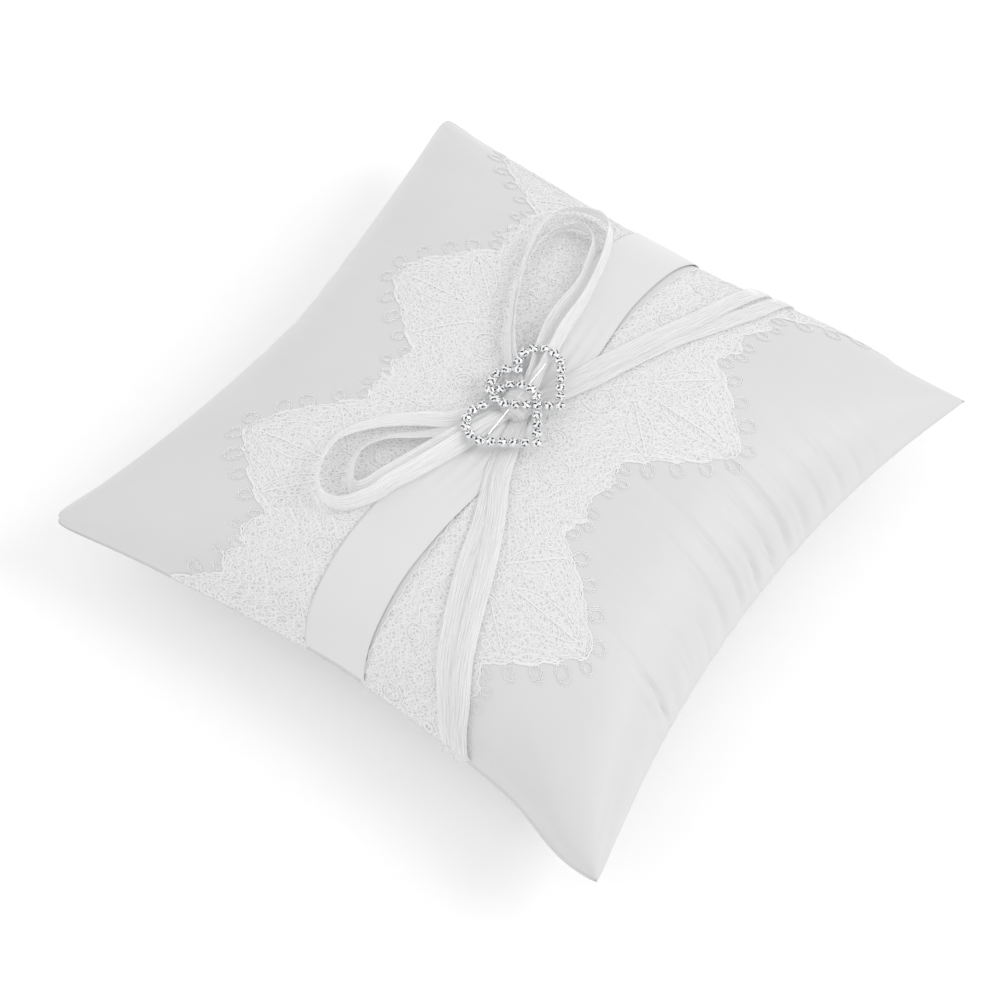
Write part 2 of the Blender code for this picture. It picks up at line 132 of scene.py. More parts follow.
# Ribbons: the solids' own routes (across, along)
RIBBON_WIDTH = 0.006
RIBBON_PINCH = 0.0034
RIBBON_PINCH_REACH = 0.022
RIBBON_THICKNESS = 0.00018
RIBBON_BODY = 0.00034         # how far the middle of a ribbon stands off what it lies on
RIBBON_CROWN = 0.00025        # rise of its middle over its edges
RIBBON_KNOT_CROWN = 0.0006    # and as much again where the knot gathers it
RIBBON_STEPS = 10
# How far a loop's ribbon turns on edge, in radians, at even steps from knot to knot
UPPER_ROLLS = ((0.90, 1.30, 0.68, 1.40, 0.95), (0.90, 1.30, 0.85, 1.50, 1.15))
LOWER_ROLLS = ((0.45, -0.30, -1.30, -0.95, -0.30), (0.20, -0.75, -1.05, -0.80, -0.40))
ROLL_EVENING = 17
ROLL_REACH = 0.008            # a loop starts to turn on edge this far from the knot
RIBBON_SPANS = 12
LACE_BODY = 0.0004            # how far the band and the ribbons stand off the panel
KNOT = (0.0025, 0.0010)
KNOT_RADIUS = 0.005
KNOT_SHIFT = -0.0012          # the winding is pulled towards the lower loops
KNOT_STRETCH = 1.35
KNOT_SWELL = 0.0017           # how far the wound ribbon swells up inside the buckle
KNOT_RINGS = 33
KNOT_SIDES = 64
TAIL_UPPER_A = [(0.0080, 0.0108), (0.0120, 0.0217), (0.0201, 0.0425), (0.0284, 0.0726), (0.0313, 0.1108)]
TAIL_UPPER_B = [(0.0109, 0.0108), (0.0190, 0.0304), (0.0273, 0.0535), (0.0349, 0.0752), (0.0393, 0.1021)]
TAIL_LOWER_A = [(0.0057, -0.0089), (0.0108, -0.0258), (0.0182, -0.0435), (0.0224, -0.0601),
                (0.0272, -0.0775), (0.0328, -0.0998), (0.0395, -0.1233)]
TAIL_LOWER_B = [(0.0080, -0.0089), (0.0133, -0.0259), (0.0215, -0.0408), (0.0278, -0.0557),
                (0.0329, -0.0730), (0.0381, -0.0949), (0.0441, -0.1191)]
LOOP_UPPER_OUTER = [(-0.0056, 0.0079), (-0.0137, 0.0156), (-0.0197, 0.0243), (-0.0257, 0.0357),
                    (-0.0324, 0.0514), (-0.0368, 0.0708), (-0.0361, 0.0843), (-0.0308, 0.0953),
                    (-0.0241, 0.0982), (-0.0174, 0.0892), (-0.0108, 0.0702), (-0.0066, 0.0543),
                    (-0.0041, 0.0425), (-0.0028, 0.0312), (0.0000, 0.0162)]
LOOP_UPPER_INNER = [(-0.0062, 0.0057), (-0.0148, 0.0145), (-0.0210, 0.0243), (-0.0266, 0.0356),
                    (-0.0313, 0.0514), (-0.0324, 0.0668), (-0.0291, 0.0784), (-0.0236, 0.0817),
                    (-0.0172, 0.0743), (-0.0126, 0.0593), (-0.0099, 0.0487), (-0.0090, 0.0341),
                    (-0.0056, 0.0201)]
LOOP_LOWER_OUTER = [(-0.0055, -0.0085), (-0.0125, -0.0175), (-0.0221, -0.0243), (-0.0319, -0.0330),
                    (-0.0385, -0.0428), (-0.0390, -0.0515), (-0.0349, -0.0620), (-0.0284, -0.0687),
                    (-0.0214, -0.0676), (-0.0154, -0.0588), (-0.0133, -0.0515), (-0.0095, -0.0415),
                    (-0.0051, -0.0282), (-0.0011, -0.0131)]
LOOP_LOWER_INNER = [(-0.0046, -0.0105), (-0.0105, -0.0220), (-0.0180, -0.0304), (-0.0259, -0.0373),
                    (-0.0298, -0.0455), (-0.0276, -0.0539), (-0.0231, -0.0599), (-0.0191, -0.0579),
                    (-0.0160, -0.0491), (-0.0117, -0.0373), (-0.0073, -0.0247), (-0.0034, -0.0131)]
UPPER_TAIL_SEAM = (0.0300, 0.0380)
LOWER_TAIL_SEAM = (0.0455, 0.0500)
TAIL_TUCK_START = 0.97        # share of its length where a tail goes into the seam
TAIL_TUCK_DEPTH = 0.0006

# Satin band: (middle, half width) at places along the cloth
BAND_ALONG = (-0.156, -0.115, -0.080, -0.052, -0.026, 0.0, 0.026, 0.055, 0.085, 0.115, 0.156)
BAND_MIDDLE = (0.0005, -0.0025, -0.0040, -0.0025, 0.0015, 0.0020, 0.0015, -0.0035, -0.0045, -0.0045, -0.0045)
BAND_HALF = (0.0105, 0.0110, 0.0115, 0.0118, 0.0112, 0.0095, 0.0108, 0.0112, 0.0112, 0.0112, 0.0112)
BAND_THICKNESS = 0.0003
BAND_STEPS = 28
BAND_ROWS = 260
BAND_EVENING = 31
BAND_REACH = 0.995            # share of the way to the seam
BAND_CROWN = 0.0002
BAND_PLEATS = (0.00055, 5, 0.6, 0.030)    # height, number, phase, reach from the buckle
BAND_TUCK = (0.955, 0.04, 0.0008)         # start and length, as shares of the way, and depth

# Lace, measured in the flat: out from the band's middle, and along it
LACE_INNER = 0.0085
LACE_VALLEY = 0.0375
LACE_TIP = 0.0630
LEAF_HALF = 0.0245
LEAF_FULLNESS = 1.25
LOBE_RISE = 0.0030
LACE_SIDES = {
    "lace_left": dict(turn=-1, repeat=0.0710, leaf=0.0225),
    "lace_right": dict(turn=1, repeat=0.0790, leaf=0.0262),
}
PICOT_PITCH = 0.0058
PICOT_HALF = (0.0030, 0.0024)
LOBE_DEPTH = 0.0013           # notches of the edge between two picots
# Picots: place from the middle of a leaf, and size
PICOTS = ((0.0029, 1.0), (0.0087, 1.0), (0.0143, 1.0), (0.0198, 0.95), (0.0250, 0.85),
          (0.0303, 0.75), (0.0354, 0.8))
GROUND_ROWS = 21
GROUND_PITCH = 0.0010
SCALE_PITCH = 0.0046
SCALE_DEPTH = 0.0016
NET_ROWS = 420
NET_COLUMNS = 26
NET_HEIGHT = 0.00007
NET_THICKNESS = 0.00003
CORD_RADIUS = 0.00030
CORD_HEIGHT = 0.0004
THREAD_RADIUS = 0.00020
THREAD_HEIGHT = 0.0003
THREAD_FLATNESS = 0.45        # pressed threads are this much as tall as they are wide

# Double-heart buckle, whose stones stand where the solids have them
STONE_RADIUS = 0.00147
STONE_HEIGHT = 0.00115
STONE_CUT = ((0.90, 0.0), (1.0, 0.30), (1.0, 0.42), (0.80, 0.74), (0.55, 1.0))   # radius, height
CUP_RADIUS = 0.00151
CUP_HEIGHT = 0.00095
CUP_SIDES = 16
STONE_SINK = 0.0003           # how deep a stone sits in its cup
PRONG_RADIUS = 0.00040
PRONG_SIDES = 8
PRONGS = 4
PRONG_REACH = 0.96            # of the cup's radius
LINK_REACH = 0.0033           # stones closer than this are linked
LINK_HALF = (0.00042, 0.00030)
LINK_HEIGHT = 0.0005
BAR_START = (0.0007, 0.0143)
BAR_END = (0.0020, -0.0163)
BAR_RADIUS = 0.00018

SEAM_ACROSS = HALF_WIDTH * math.pi / 2
SEAM_ALONG = HALF_DEPTH * math.pi / 2
SLOPE_STEP = 0.0006
INNER = (slice(1, -1), slice(1, -1))      # a grid without its outer ring

# Cloth finishes: how light, how rough, and the grain across and along
SATIN_FINISH = {"light": 0.700, "roughness": 0.42, "grain": (1500.0, 260.0, 1.0)}
BAND_FINISH = {"light": 0.758, "roughness": 0.36, "grain": (260.0, 1500.0, 1.0)}

# Studio
FLOOR_HALF = 4.0
WORLD_LIGHT = 0.86
LIGHT_TARGET = (0.0, 0.0, 0.03)
# Lamps: place, size, power
LAMPS = {
    "key": ((0.9, 0.5, 1.0), 0.6, 4.2),
    "fill": ((-0.7, -0.6, 0.9), 1.0, 1.0),
}


# ------------------------------------------------------------------ meshes

def add_object(name, data, material=None):
    added = bpy.data.objects.new(name, data)
    bpy.context.scene.collection.objects.link(added)
    if material:
        data.materials.append(material)
    return added


def stand_for(piece, slot, *nodes):
    """Lets a piece ride the one body, in the place of the plain solids that it stands for."""
    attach(piece, "root")
    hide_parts(*nodes)


def mesh_from(name, points, faces, smooth=True):
    mesh = bpy.data.meshes.new(name)
    mesh.from_pydata(np.asarray(points).reshape(-1, 3).tolist(), [], [tuple(f) for f in faces])
    mesh.update()
    if smooth:
        mesh.shade_smooth()
    return mesh


def add_cloth_map(mesh, places):
    """A UV map in metres of cloth, for weaves that follow the threads."""
    layer = mesh.uv_layers.new(name="cloth")
    vertex = np.zeros(len(mesh.loops), np.int32)
    mesh.loops.foreach_get("vertex_index", vertex)
    layer.data.foreach_set("uv", np.asarray(places, np.float32)[vertex].ravel())


def grid_faces(index):
    """Quads between the rows of a grid of point numbers."""
    return np.stack([index[:-1, :-1], index[:-1, 1:], index[1:, 1:], index[1:, :-1]], -1).reshape(-1, 4)


def ring_faces(index):
    """Quads between closed rings of point numbers, one ring after another."""
    after = np.roll(index, -1, 1)
    return np.stack([index[:-1], index[1:], after[1:], after[:-1]], -1).reshape(-1, 4)


def evened(values, width):
    """Values smoothed along their row, over a width of so many."""
    kernel = np.hanning(width)
    return np.convolve(np.pad(values, width // 2, mode="edge"), kernel / kernel.sum(), "valid")


def ease(share):
    share = np.clip(share, 0, 1)
    return share * share * (3 - 2 * share)


# -------------------------------------------------------------- the surface

def swell(u, shape):
    height, place, spread = shape
    return height * np.exp(-((u - place) / spread) ** 2)


def panel(across, along, front=True):
    """Points of a panel: the solids' form, with its own corners and bulges."""
    u = np.sin(across / HALF_WIDTH)
    v = np.sin(along / HALF_DEPTH)
    pull_x = np.where(u < 0, PULL_LEFT * (1 - LEFT_PULL_EASE * np.maximum(v, 0)), PULL_RIGHT)
    pull_y = np.where(v < 0, PULL_NEAR * (1 - NEAR_PULL_EASE * np.maximum(-u, 0)), PULL_FAR)
    near_corner = np.abs(u * v)
    stretch = np.ones_like(u)
    fullness = np.full_like(u, 0.5)
    for (side_x, side_y), (reach, rounding, filled) in CORNERS.items():
        here = (np.sign(u) == side_x) & (np.sign(v) == side_y)
        change = (reach * near_corner ** CORNER_REACH_SHARPNESS
                  - rounding * near_corner ** CORNER_ROUND_SHARPNESS)
        stretch = np.where(here, 1 + change, stretch)
        fullness = np.where(here, 0.5 - filled * near_corner ** 2, fullness)
    bulge = (swell(u, FAR_BULGE) * np.maximum(v, 0) ** 3
             - swell(u, NEAR_BULGE) * np.maximum(-v, 0) ** 3)
    x = u * (HALF_WIDTH - pull_x * (1 - v * v)) * stretch
    y = v * (HALF_DEPTH - pull_y * (1 - u * u)) * stretch + bulge
    side = np.clip(1 - np.abs(u) ** PLUMPNESS, 0, 1) * np.clip(1 - np.abs(v) ** PLUMPNESS, 0, 1)
    rise = side ** fullness
    tuft = TUFT_DEPTH * np.exp(-(x * x + y * y) / TUFT_RADIUS ** 2) * side
    if front:
        z = SEAM_HEIGHT + CROWN * rise - tuft
    else:
        z = np.maximum(0.0, SEAM_HEIGHT - BELLY * rise)
    return np.stack([x, y, z], -1)


def cubic_weights(f):
    return (-0.5 * f + f * f - 0.5 * f ** 3, 1 - 2.5 * f * f + 1.5 * f ** 3,
            0.5 * f + 2 * f * f - 1.5 * f ** 3, -0.5 * f * f + 0.5 * f ** 3)


def sample_grid(grid, row, column):
    """Smooth values of a square grid of vectors at fractional rows and columns."""
    last = grid.shape[0] - 1
    i = np.clip(np.floor(row).astype(int), 0, last - 1)
    j = np.clip(np.floor(column).astype(int), 0, last - 1)
    rows = cubic_weights(np.clip(row - i, 0, 1))
    columns = cubic_weights(np.clip(column - j, 0, 1))
    total = 0.0
    for m in range(4):
        for n in range(4):
            share = (rows[m] * columns[n])[..., None]
            total = total + share * grid[np.clip(i + m - 1, 0, last), np.clip(j + n - 1, 0, last)]
    return total


def gathers(across, along, folds):
    """Height of the folds that the seams gather, off the panel."""
    inside = {"right": SEAM_ACROSS - across, "left": SEAM_ACROSS + across,
              "far": SEAM_ALONG - along, "near": SEAM_ALONG + along}
    total = np.zeros_like(across)
    for number, (side, middle, spread, pitch, height, length, lean) in enumerate(folds):
        depth = np.maximum(inside[side], 0)
        place = (along if side in ("right", "left") else across) - middle - lean * depth
        wander = 0.9 * np.sin(place / spread * 2.3 + number) + 0.5 * np.sin(place / spread * 5.1)
        turn = math.pi * place / pitch + wander / 2
        wave = -np.exp(-(np.sin(turn) / FOLD_WIDTH) ** 2)
        uneven = 1 + FOLD_UNEVENNESS * np.sin(2.1 * np.round(turn / math.pi) + number)
        held = 1 - SEAM_HOLD * np.exp(-(depth / SEAM_HOLD_REACH) ** 2)
        total += (height * wave * held * np.exp(-(place / spread) ** 2)
                  * np.exp(-(depth / (length * uneven)) ** 2))
    return total


def seam_groove(across, along):
    depth = np.minimum(SEAM_ACROSS - np.abs(across), SEAM_ALONG - np.abs(along))
    return -SEAM_GROOVE * np.exp(-(depth / SEAM_GROOVE_WIDTH) ** 2)


def slope_frame(surface, across, along, step=SLOPE_STEP):
    """Unit normals of a surface, from small steps on it."""
    run = surface(across + step, along) - surface(across - step, along)
    rise = surface(across, along + step) - surface(across, along - step)
    normal = np.cross(run, rise)
    return normal / np.maximum(np.linalg.norm(normal, axis=-1, keepdims=True), 1e-12)


def grid_place(across, along):
    """Row and column of a place in the simulation's grid."""
    row = (along / SEAM_ALONG + 1) / 2 * SIM_CELLS
    column = (across / SEAM_ACROSS + 1) / 2 * SIM_CELLS
    return row, column


def inward(normal, front):
    return normal if front else -normal


class Cushion:
    """The stuffed cover: the solids' shape, moved by the simulation, with its folds."""

    def __init__(self):
        self.drift = {side: np.zeros((SIM_CELLS + 1, SIM_CELLS + 1, 3)) for side in (True, False)}

    def relaxed(self, across, along, front=True):
        """The panel as the stuffing shapes it, without the seams' folds."""
        return panel(across, along, front) + sample_grid(self.drift[front], *grid_place(across, along))

    def surface(self, across, along, front=True, groove=False):
        """The panel with its folds, and where asked with the groove of its seam."""
        a = np.clip(across, -SURFACE_LIMIT * SEAM_ACROSS, SURFACE_LIMIT * SEAM_ACROSS)
        b = np.clip(along, -SURFACE_LIMIT * SEAM_ALONG, SURFACE_LIMIT * SEAM_ALONG)
        normal = slope_frame(lambda s, t: panel(s, t, front), a, b)
        lift = gathers(across, along, GATHERS if front else BACK_GATHERS)
        if groove:
            lift = lift + seam_groove(across, along)
        points = self.relaxed(across, along, front) + inward(normal, front) * lift[..., None]
        points[..., 2] = np.maximum(points[..., 2], FLOOR_CLEARANCE)
        return points

    def off(self, across, along, height):
        """Points at a height off the front panel, square to it."""
        normal = slope_frame(self.surface, across, along)
        return self.surface(across, along) + normal * np.asarray(height)[..., None]


def seam_to_seam(seam, cells):
    """Places from one seam to the other, with extra ones close to each seam."""
    start = FINE_SEAM_STEPS[-1] + 0.0012
    middle = np.linspace(-seam + start, seam - start, cells - 2 * len(FINE_SEAM_STEPS) + 1)
    edge = np.array(FINE_SEAM_STEPS)
    return np.concatenate([-seam + edge, middle, (seam - edge)[::-1]])


def closed_cushion(name, columns, rows, front_points, back_points):
    """One closed mesh from two grids of points that share their outer ring."""
    tall, wide = front_points.shape[:2]
    index_front = np.arange(tall * wide).reshape(tall, wide)
    index_back = index_front.copy()
    index_back[INNER] = tall * wide + np.arange((tall - 2) * (wide - 2)).reshape(tall - 2, wide - 2)
    points = np.concatenate([front_points.reshape(-1, 3), back_points[INNER].reshape(-1, 3)])
    faces = []
    for index, order in ((index_front, 1), (index_back, -1)):
        faces.extend(grid_faces(index)[:, ::order].tolist())
    mesh = mesh_from(name, points, faces)
    places = np.stack(np.meshgrid(columns, rows), -1)
    add_cloth_map(mesh, np.concatenate([places.reshape(-1, 2), places[INNER].reshape(-1, 2)]))
    return mesh


# ----------------------------------------------------------- the simulation

def pinned_share(across, along):
    """1 on the seam and under the buckle's stitches, 0 on the free cloth."""
    seam = np.minimum(SEAM_ACROSS - np.abs(across), SEAM_ALONG - np.abs(along))
    stitched = np.clip(1 - (np.hypot(across, along) / STITCHED_RADIUS - 1), 0, 1)
    return np.maximum(np.where(seam < 1e-6, 1.0, 0.0), stitched * STITCHED_HOLD)


def spare_share(across, along):
    """Where the seams gather spare cloth."""
    seam = np.minimum(SEAM_ACROSS - np.abs(across), SEAM_ALONG - np.abs(along))
    return np.exp(-(seam / SIM_SPARE_REACH) ** 2)


def paint_group(piece, name, values):
    group = piece.vertex_groups.new(name=name)
    for index, value in enumerate(values):
        if value > 0:
            group.add([index], float(value), "REPLACE")
    return name


def add_cloth(piece, pin, spare):
    """Cloth under pressure, without gravity, held by its pins."""
    cloth = piece.modifiers.new("cloth", "CLOTH")
    cloth.settings.effector_weights.gravity = 0.0
    cloth.settings.vertex_group_mass = pin
    cloth.settings.vertex_group_shrink = spare
    for key, value in SIM_CLOTH.items():
        setattr(cloth.settings, key, value)
    cloth.collision_settings.use_collision = False
    cloth.point_cache.frame_start = 1
    cloth.point_cache.frame_end = SIM_FRAMES


def capped(moves):
    length = np.linalg.norm(moves, axis=-1, keepdims=True)
    return moves * np.minimum(1.0, SIM_CAP / np.maximum(length, 1e-9))


def smoothed(grid, rounds):
    """A grid of vectors, evened out with its neighbours away from its border."""
    for _ in range(rounds):
        middle = (grid[:-2, 1:-1] + grid[2:, 1:-1] + grid[1:-1, :-2] + grid[1:-1, 2:]) / 4
        grid = grid.copy()
        grid[1:-1, 1:-1] = (grid[1:-1, 1:-1] + middle) / 2
    return grid


def on_both(values):
    """Values at the front panel's points, then at the back's own points."""
    return np.concatenate([values.ravel(), values[INNER].ravel()])


def before_stuffing(across, along):
    """Both panels as they are, and set in a little, as the stuffing finds them."""
    flat = {}
    start = {}
    loose = 1 - pinned_share(across, along)
    for front in (True, False):
        flat[front] = panel(across, along, front)
        normal = slope_frame(lambda s, t: panel(s, t, front), across * 0.99, along * 0.99)
        start[front] = flat[front] - inward(normal, front) * SIM_INSET * loose[..., None]
    return flat, start


def after_frames(piece):
    """Where a piece's points are once the simulation has run."""
    scene = bpy.context.scene
    for step in range(1, SIM_FRAMES + 1):
        scene.frame_set(step)
    seen = piece.evaluated_get(bpy.context.evaluated_depsgraph_get()).to_mesh()
    moved = np.zeros(len(seen.vertices) * 3)
    seen.vertices.foreach_get("co", moved)
    scene.frame_set(1)
    return moved.reshape(-1, 3)


def simulate(cushion):
    """Stuffs the cover by cloth simulation, and keeps how far each point moved."""
    columns = np.linspace(-SEAM_ACROSS, SEAM_ACROSS, SIM_CELLS + 1)
    rows = np.linspace(-SEAM_ALONG, SEAM_ALONG, SIM_CELLS + 1)
    across, along = np.meshgrid(columns, rows)
    flat, start = before_stuffing(across, along)
    mesh = closed_cushion("stuffing_test", columns, rows, start[True], start[False])
    piece = add_object("stuffing_test", mesh)
    front_count = across.size
    pin_values = on_both(pinned_share(across, along))
    pin_values[front_count:] = 0.0
    pin = paint_group(piece, "pin", pin_values)
    spare = paint_group(piece, "spare", on_both(spare_share(across, along)))
    add_cloth(piece, pin, spare)
    moved = after_frames(piece)
    front_points = moved[:front_count].reshape(*across.shape, 3)
    back_points = flat[False].copy()
    back_points[INNER] = moved[front_count:].reshape(SIM_CELLS - 1, SIM_CELLS - 1, 3)
    cushion.drift[True] = smoothed(capped(front_points - flat[True]), 2)
    cushion.drift[False] = smoothed(capped(back_points - flat[False]), 2)
    bpy.data.objects.remove(piece, do_unlink=True)


# ---------------------------------------------------------------- materials

def shader_of(material):
    return material.node_tree.nodes["Principled BSDF"]


def new_material(name, colour, roughness, **inputs):
    """A Principled material, its even values set on the shader's own sockets."""
    material = bpy.data.materials.new(name)
    material.use_nodes = True
    shader = shader_of(material)
    shader.inputs["Base Color"].default_value = (*colour, 1.0)
    shader.inputs["Roughness"].default_value = roughness
    for key, value in inputs.items():
        shader.inputs[key.replace("_", " ")].default_value = value
    return material


def node(material, kind, **values):
    made = material.node_tree.nodes.new(kind)
    for key, value in values.items():
        if hasattr(made, key):
            setattr(made, key, value)
        else:
            made.inputs[key.replace("_", " ")].default_value = value
    return made


def link(material, source, target):
    material.node_tree.links.new(source, target)


def feed(material, socket, source):
    link(material, source, shader_of(material).inputs[socket])


def object_place(material):
    return node(material, "ShaderNodeTexCoord").outputs["Object"]


def cloth_place(material, scale):
    place = node(material, "ShaderNodeUVMap", uv_map="cloth")
    mapping = node(material, "ShaderNodeMapping")
    mapping.inputs["Scale"].default_value = scale
    link(material, place.outputs["UV"], mapping.inputs["Vector"])
    return mapping.outputs["Vector"]


def noise_at(material, vector, scale, detail=2.0):
    texture = node(material, "ShaderNodeTexNoise", Scale=scale, Detail=detail)
    link(material, vector, texture.inputs["Vector"])
    return texture.outputs["Fac"]


def bump_from(material, height, strength, distance, before=None):
    bump = node(material, "ShaderNodeBump", Strength=strength, Distance=distance)
    link(material, height, bump.inputs["Height"])
    if before is not None:
        link(material, before, bump.inputs["Normal"])
    return bump.outputs["Normal"]


def tint_from(material, value, low, high):
    """Greys between two tones, by a value."""
    ramp = node(material, "ShaderNodeValToRGB")
    for element, tone in zip(ramp.color_ramp.elements, (low, high)):
        element.color = (tone, tone, tone, 1.0)
    link(material, value, ramp.inputs["Fac"])
    return ramp.outputs["Color"]


def range_from(material, value, low, high):
    span = node(material, "ShaderNodeMapRange", To_Min=low, To_Max=high)
    link(material, value, span.inputs["Value"])
    return span.outputs["Result"]


def satin_material(name, light, roughness, grain):
    """Satin: long floats in one direction, a soft sheen and a faint ripple."""
    material = new_material(name, (light,) * 3, roughness, Sheen_Weight=0.25, Sheen_Roughness=0.4,
                            Specular_IOR_Level=0.45, Anisotropic=0.3)
    cloth = cloth_place(material, grain)
    floats = noise_at(material, cloth, 1.0, 3.0)
    ripple = noise_at(material, object_place(material), 55.0, 2.0)
    tint = tint_from(material, ripple, light * 0.97, light * 1.02)
    feed(material, "Base Color", tint)
    uneven = range_from(material, floats, roughness - 0.06, roughness + 0.08)
    feed(material, "Roughness", uneven)
    soft = bump_from(material, ripple, 0.25, 0.0012)
    feed(material, "Normal", bump_from(material, floats, 0.12, 0.00008, soft))
    return material


def ribbon_material():
    """Narrow sheer ribbon: fine lengthwise cords with open weft between them."""
    material = new_material("ribbon", (0.94,) * 3, 0.40, Sheen_Weight=0.35, Sheen_Roughness=0.35,
                            Specular_IOR_Level=0.5)
    cords = noise_at(material, cloth_place(material, (3200.0, 90.0, 1.0)), 1.0, 2.0)
    weft = noise_at(material, cloth_place(material, (500.0, 5200.0, 1.0)), 1.0, 1.0)
    feed(material, "Base Color", tint_from(material, cords, 0.95, 1.0))
    feed(material, "Roughness", range_from(material, cords, 0.34, 0.55))
    feed(material, "Alpha", range_from(material, cords, 0.12, 0.88))
    first = bump_from(material, cords, 0.25, 0.00012)
    feed(material, "Normal", bump_from(material, weft, 0.15, 0.00006, first))
    return material


def lace_material():
    """Mercerised cotton thread with its twist."""
    material = new_material("lace", (0.88,) * 3, 0.60, Sheen_Weight=0.2, Sheen_Roughness=0.5,
                            Specular_IOR_Level=0.35)
    twist = noise_at(material, object_place(material), 2600.0, 1.0)
    feed(material, "Base Color", tint_from(material, twist, 0.80, 0.90))
    feed(material, "Normal", bump_from(material, twist, 0.35, 0.0001))
    return material


def net_material():
    """Net of crossing threads, open between them."""
    material = new_material("net", (0.885,) * 3, 0.65, Sheen_Weight=0.2, Specular_IOR_Level=0.3)
    place = cloth_place(material, (1.0, 1.0, 1.0))
    wander = node(material, "ShaderNodeTexNoise", Scale=900.0, Detail=1.0)
    link(material, place, wander.inputs["Vector"])
    moved = node(material, "ShaderNodeMixRGB", blend_type="LINEAR_LIGHT")
    moved.inputs["Fac"].default_value = 0.0006
    link(material, place, moved.inputs["Color1"])
    link(material, wander.outputs["Color"], moved.inputs["Color2"])
    cells = node(material, "ShaderNodeTexVoronoi", feature="DISTANCE_TO_EDGE", Scale=820.0)
    link(material, moved.outputs["Color"], cells.inputs["Vector"])
    thread = node(material, "ShaderNodeMapRange", From_Min=0.06, From_Max=0.34, To_Min=0.90, To_Max=0.50)
    link(material, cells.outputs["Distance"], thread.inputs["Value"])
    feed(material, "Alpha", thread.outputs["Result"])
    feed(material, "Normal", bump_from(material, thread.outputs["Result"], 0.35, 0.00015))
    return material


def silver_material():
    material = new_material("silver", (0.86, 0.87, 0.89), 0.16, Metallic=1.0)
    wear = noise_at(material, object_place(material), 900.0, 3.0)
    feed(material, "Roughness", range_from(material, wear, 0.10, 0.30))
    return material


def crystal_painted_reflections_material():
    """Foiled glass: cut facets over a mirror whose colour holds painted reflections. Random cells are
    painted black or grey as dark and dim facet reflections, and the rest is white mirror.
    """
    material = new_material("crystal", (0.95, 0.96, 0.98), 0.03, Metallic=1.0, Coat_Weight=0.6,
                            Coat_Roughness=0.02)
    cells = node(material, "ShaderNodeTexVoronoi", Scale=1500.0)
    link(material, object_place(material), cells.inputs["Vector"])
    # Painted reflections: each random cell's mirror colour is black (a painted dark facet reflection), grey
    # (a painted dim reflection) or white (plain mirror).
    ramp = node(material, "ShaderNodeValToRGB")
    ramp.color_ramp.interpolation = "CONSTANT"
    ramp.color_ramp.elements[0].color = (0.02, 0.02, 0.025, 1.0)
    ramp.color_ramp.elements[1].position = 0.29
    ramp.color_ramp.elements[1].color = (0.62, 0.63, 0.65, 1.0)
    bright = ramp.color_ramp.elements.new(0.44)
    bright.color = (1.0, 1.0, 1.0, 1.0)
    separate = node(material, "ShaderNodeSeparateColor")
    link(material, cells.outputs["Color"], separate.inputs["Color"])
    link(material, separate.outputs["Red"], ramp.inputs["Fac"])
    feed(material, "Base Color", ramp.outputs["Color"])
    return material


def floor_material():
    material = new_material("floor", (0.93,) * 3, 0.9, Specular_IOR_Level=0.1,
                            Emission_Color=(1.0, 1.0, 1.0, 1.0), Emission_Strength=0.10)
    grain = noise_at(material, object_place(material), 30.0, 3.0)
    feed(material, "Base Color", tint_from(material, grain, 0.925, 0.94))
    return material


# ------------------------------------------------------------------- camera

def make_camera():
    data = bpy.data.cameras.new("camera")
    data.lens = CAMERA_LENS
    camera = add_object("camera", data)
    camera.location = CAMERA_PLACE
    aim = Vector(CAMERA_TARGET) - Vector(CAMERA_PLACE)
    camera.rotation_euler = aim.to_track_quat("-Z", "Y").to_euler()
    bpy.context.scene.camera = camera


# ------------------------------------------------------------------ ribbons

def smooth_route(points, spans):
    """Catmull-Rom curve through the route's own points."""
    ends = np.array([points[0], *points, points[-1]], float)
    route = []
    for p0, p1, p2, p3 in zip(ends, ends[1:], ends[2:], ends[3:]):
        for k in range(spans):
            t = k / spans
            cubic = 2 * p0 - 5 * p1 + 4 * p2 - p3 + t * (3 * p1 - p0 - 3 * p2 + p3)
            route.append(p1 + 0.5 * t * (p2 - p0 + t * cubic))
    return np.array(route + [ends[-1]])


def knot_edge(toward):
    """Where a ribbon that comes from a point goes into the knot."""
    dx = toward[0] - KNOT[0]
    dy = toward[1] - KNOT[1]
    reach = (KNOT_RADIUS * 0.8) / math.hypot(dx, dy)
    return KNOT[0] + dx * reach, KNOT[1] + dy * reach


def ribbon_rise(level):
    """Height of a layer of ribbon off the front panel."""
    return LACE_BODY + BAND_THICKNESS + RIBBON_BODY * (level + 1)


def strip_mesh(name, middle, side, up, halves, crown, thickness, steps, lengths):
    """A closed thin strip along a line of points, a little crowned across."""
    across = np.linspace(-1, 1, steps + 1)
    arch = 1 - across ** 2
    top = (middle[:, None] + side[:, None] * (halves[:, None] * across)[..., None]
           + up[:, None] * (crown[:, None] * arch + thickness / 2)[..., None])
    under = top - up[:, None] * thickness
    rows = len(middle)
    ring = 2 * (steps + 1)
    points = np.concatenate([top, under[:, ::-1]], 1)
    index = np.arange(rows * ring).reshape(rows, ring)
    faces = ring_faces(index)[:, ::-1].tolist()
    faces.append(index[0].tolist())
    faces.append(index[-1][::-1].tolist())
    mesh = mesh_from(name, points, faces)
    uv_across = np.concatenate([across, across[::-1]])
    places = np.stack([halves[:, None] * uv_across, np.repeat(lengths[:, None], ring, 1)], -1)
    add_cloth_map(mesh, places.reshape(-1, 2))
    return mesh


def route_frame(middle, normal):
    """Sideways and upwards directions along a line of points."""
    ahead = np.gradient(middle, axis=0)
    ahead /= np.linalg.norm(ahead, axis=1, keepdims=True)
    side = np.cross(ahead, normal)
    side /= np.linalg.norm(side, axis=1, keepdims=True)
    return side, np.cross(side, ahead)


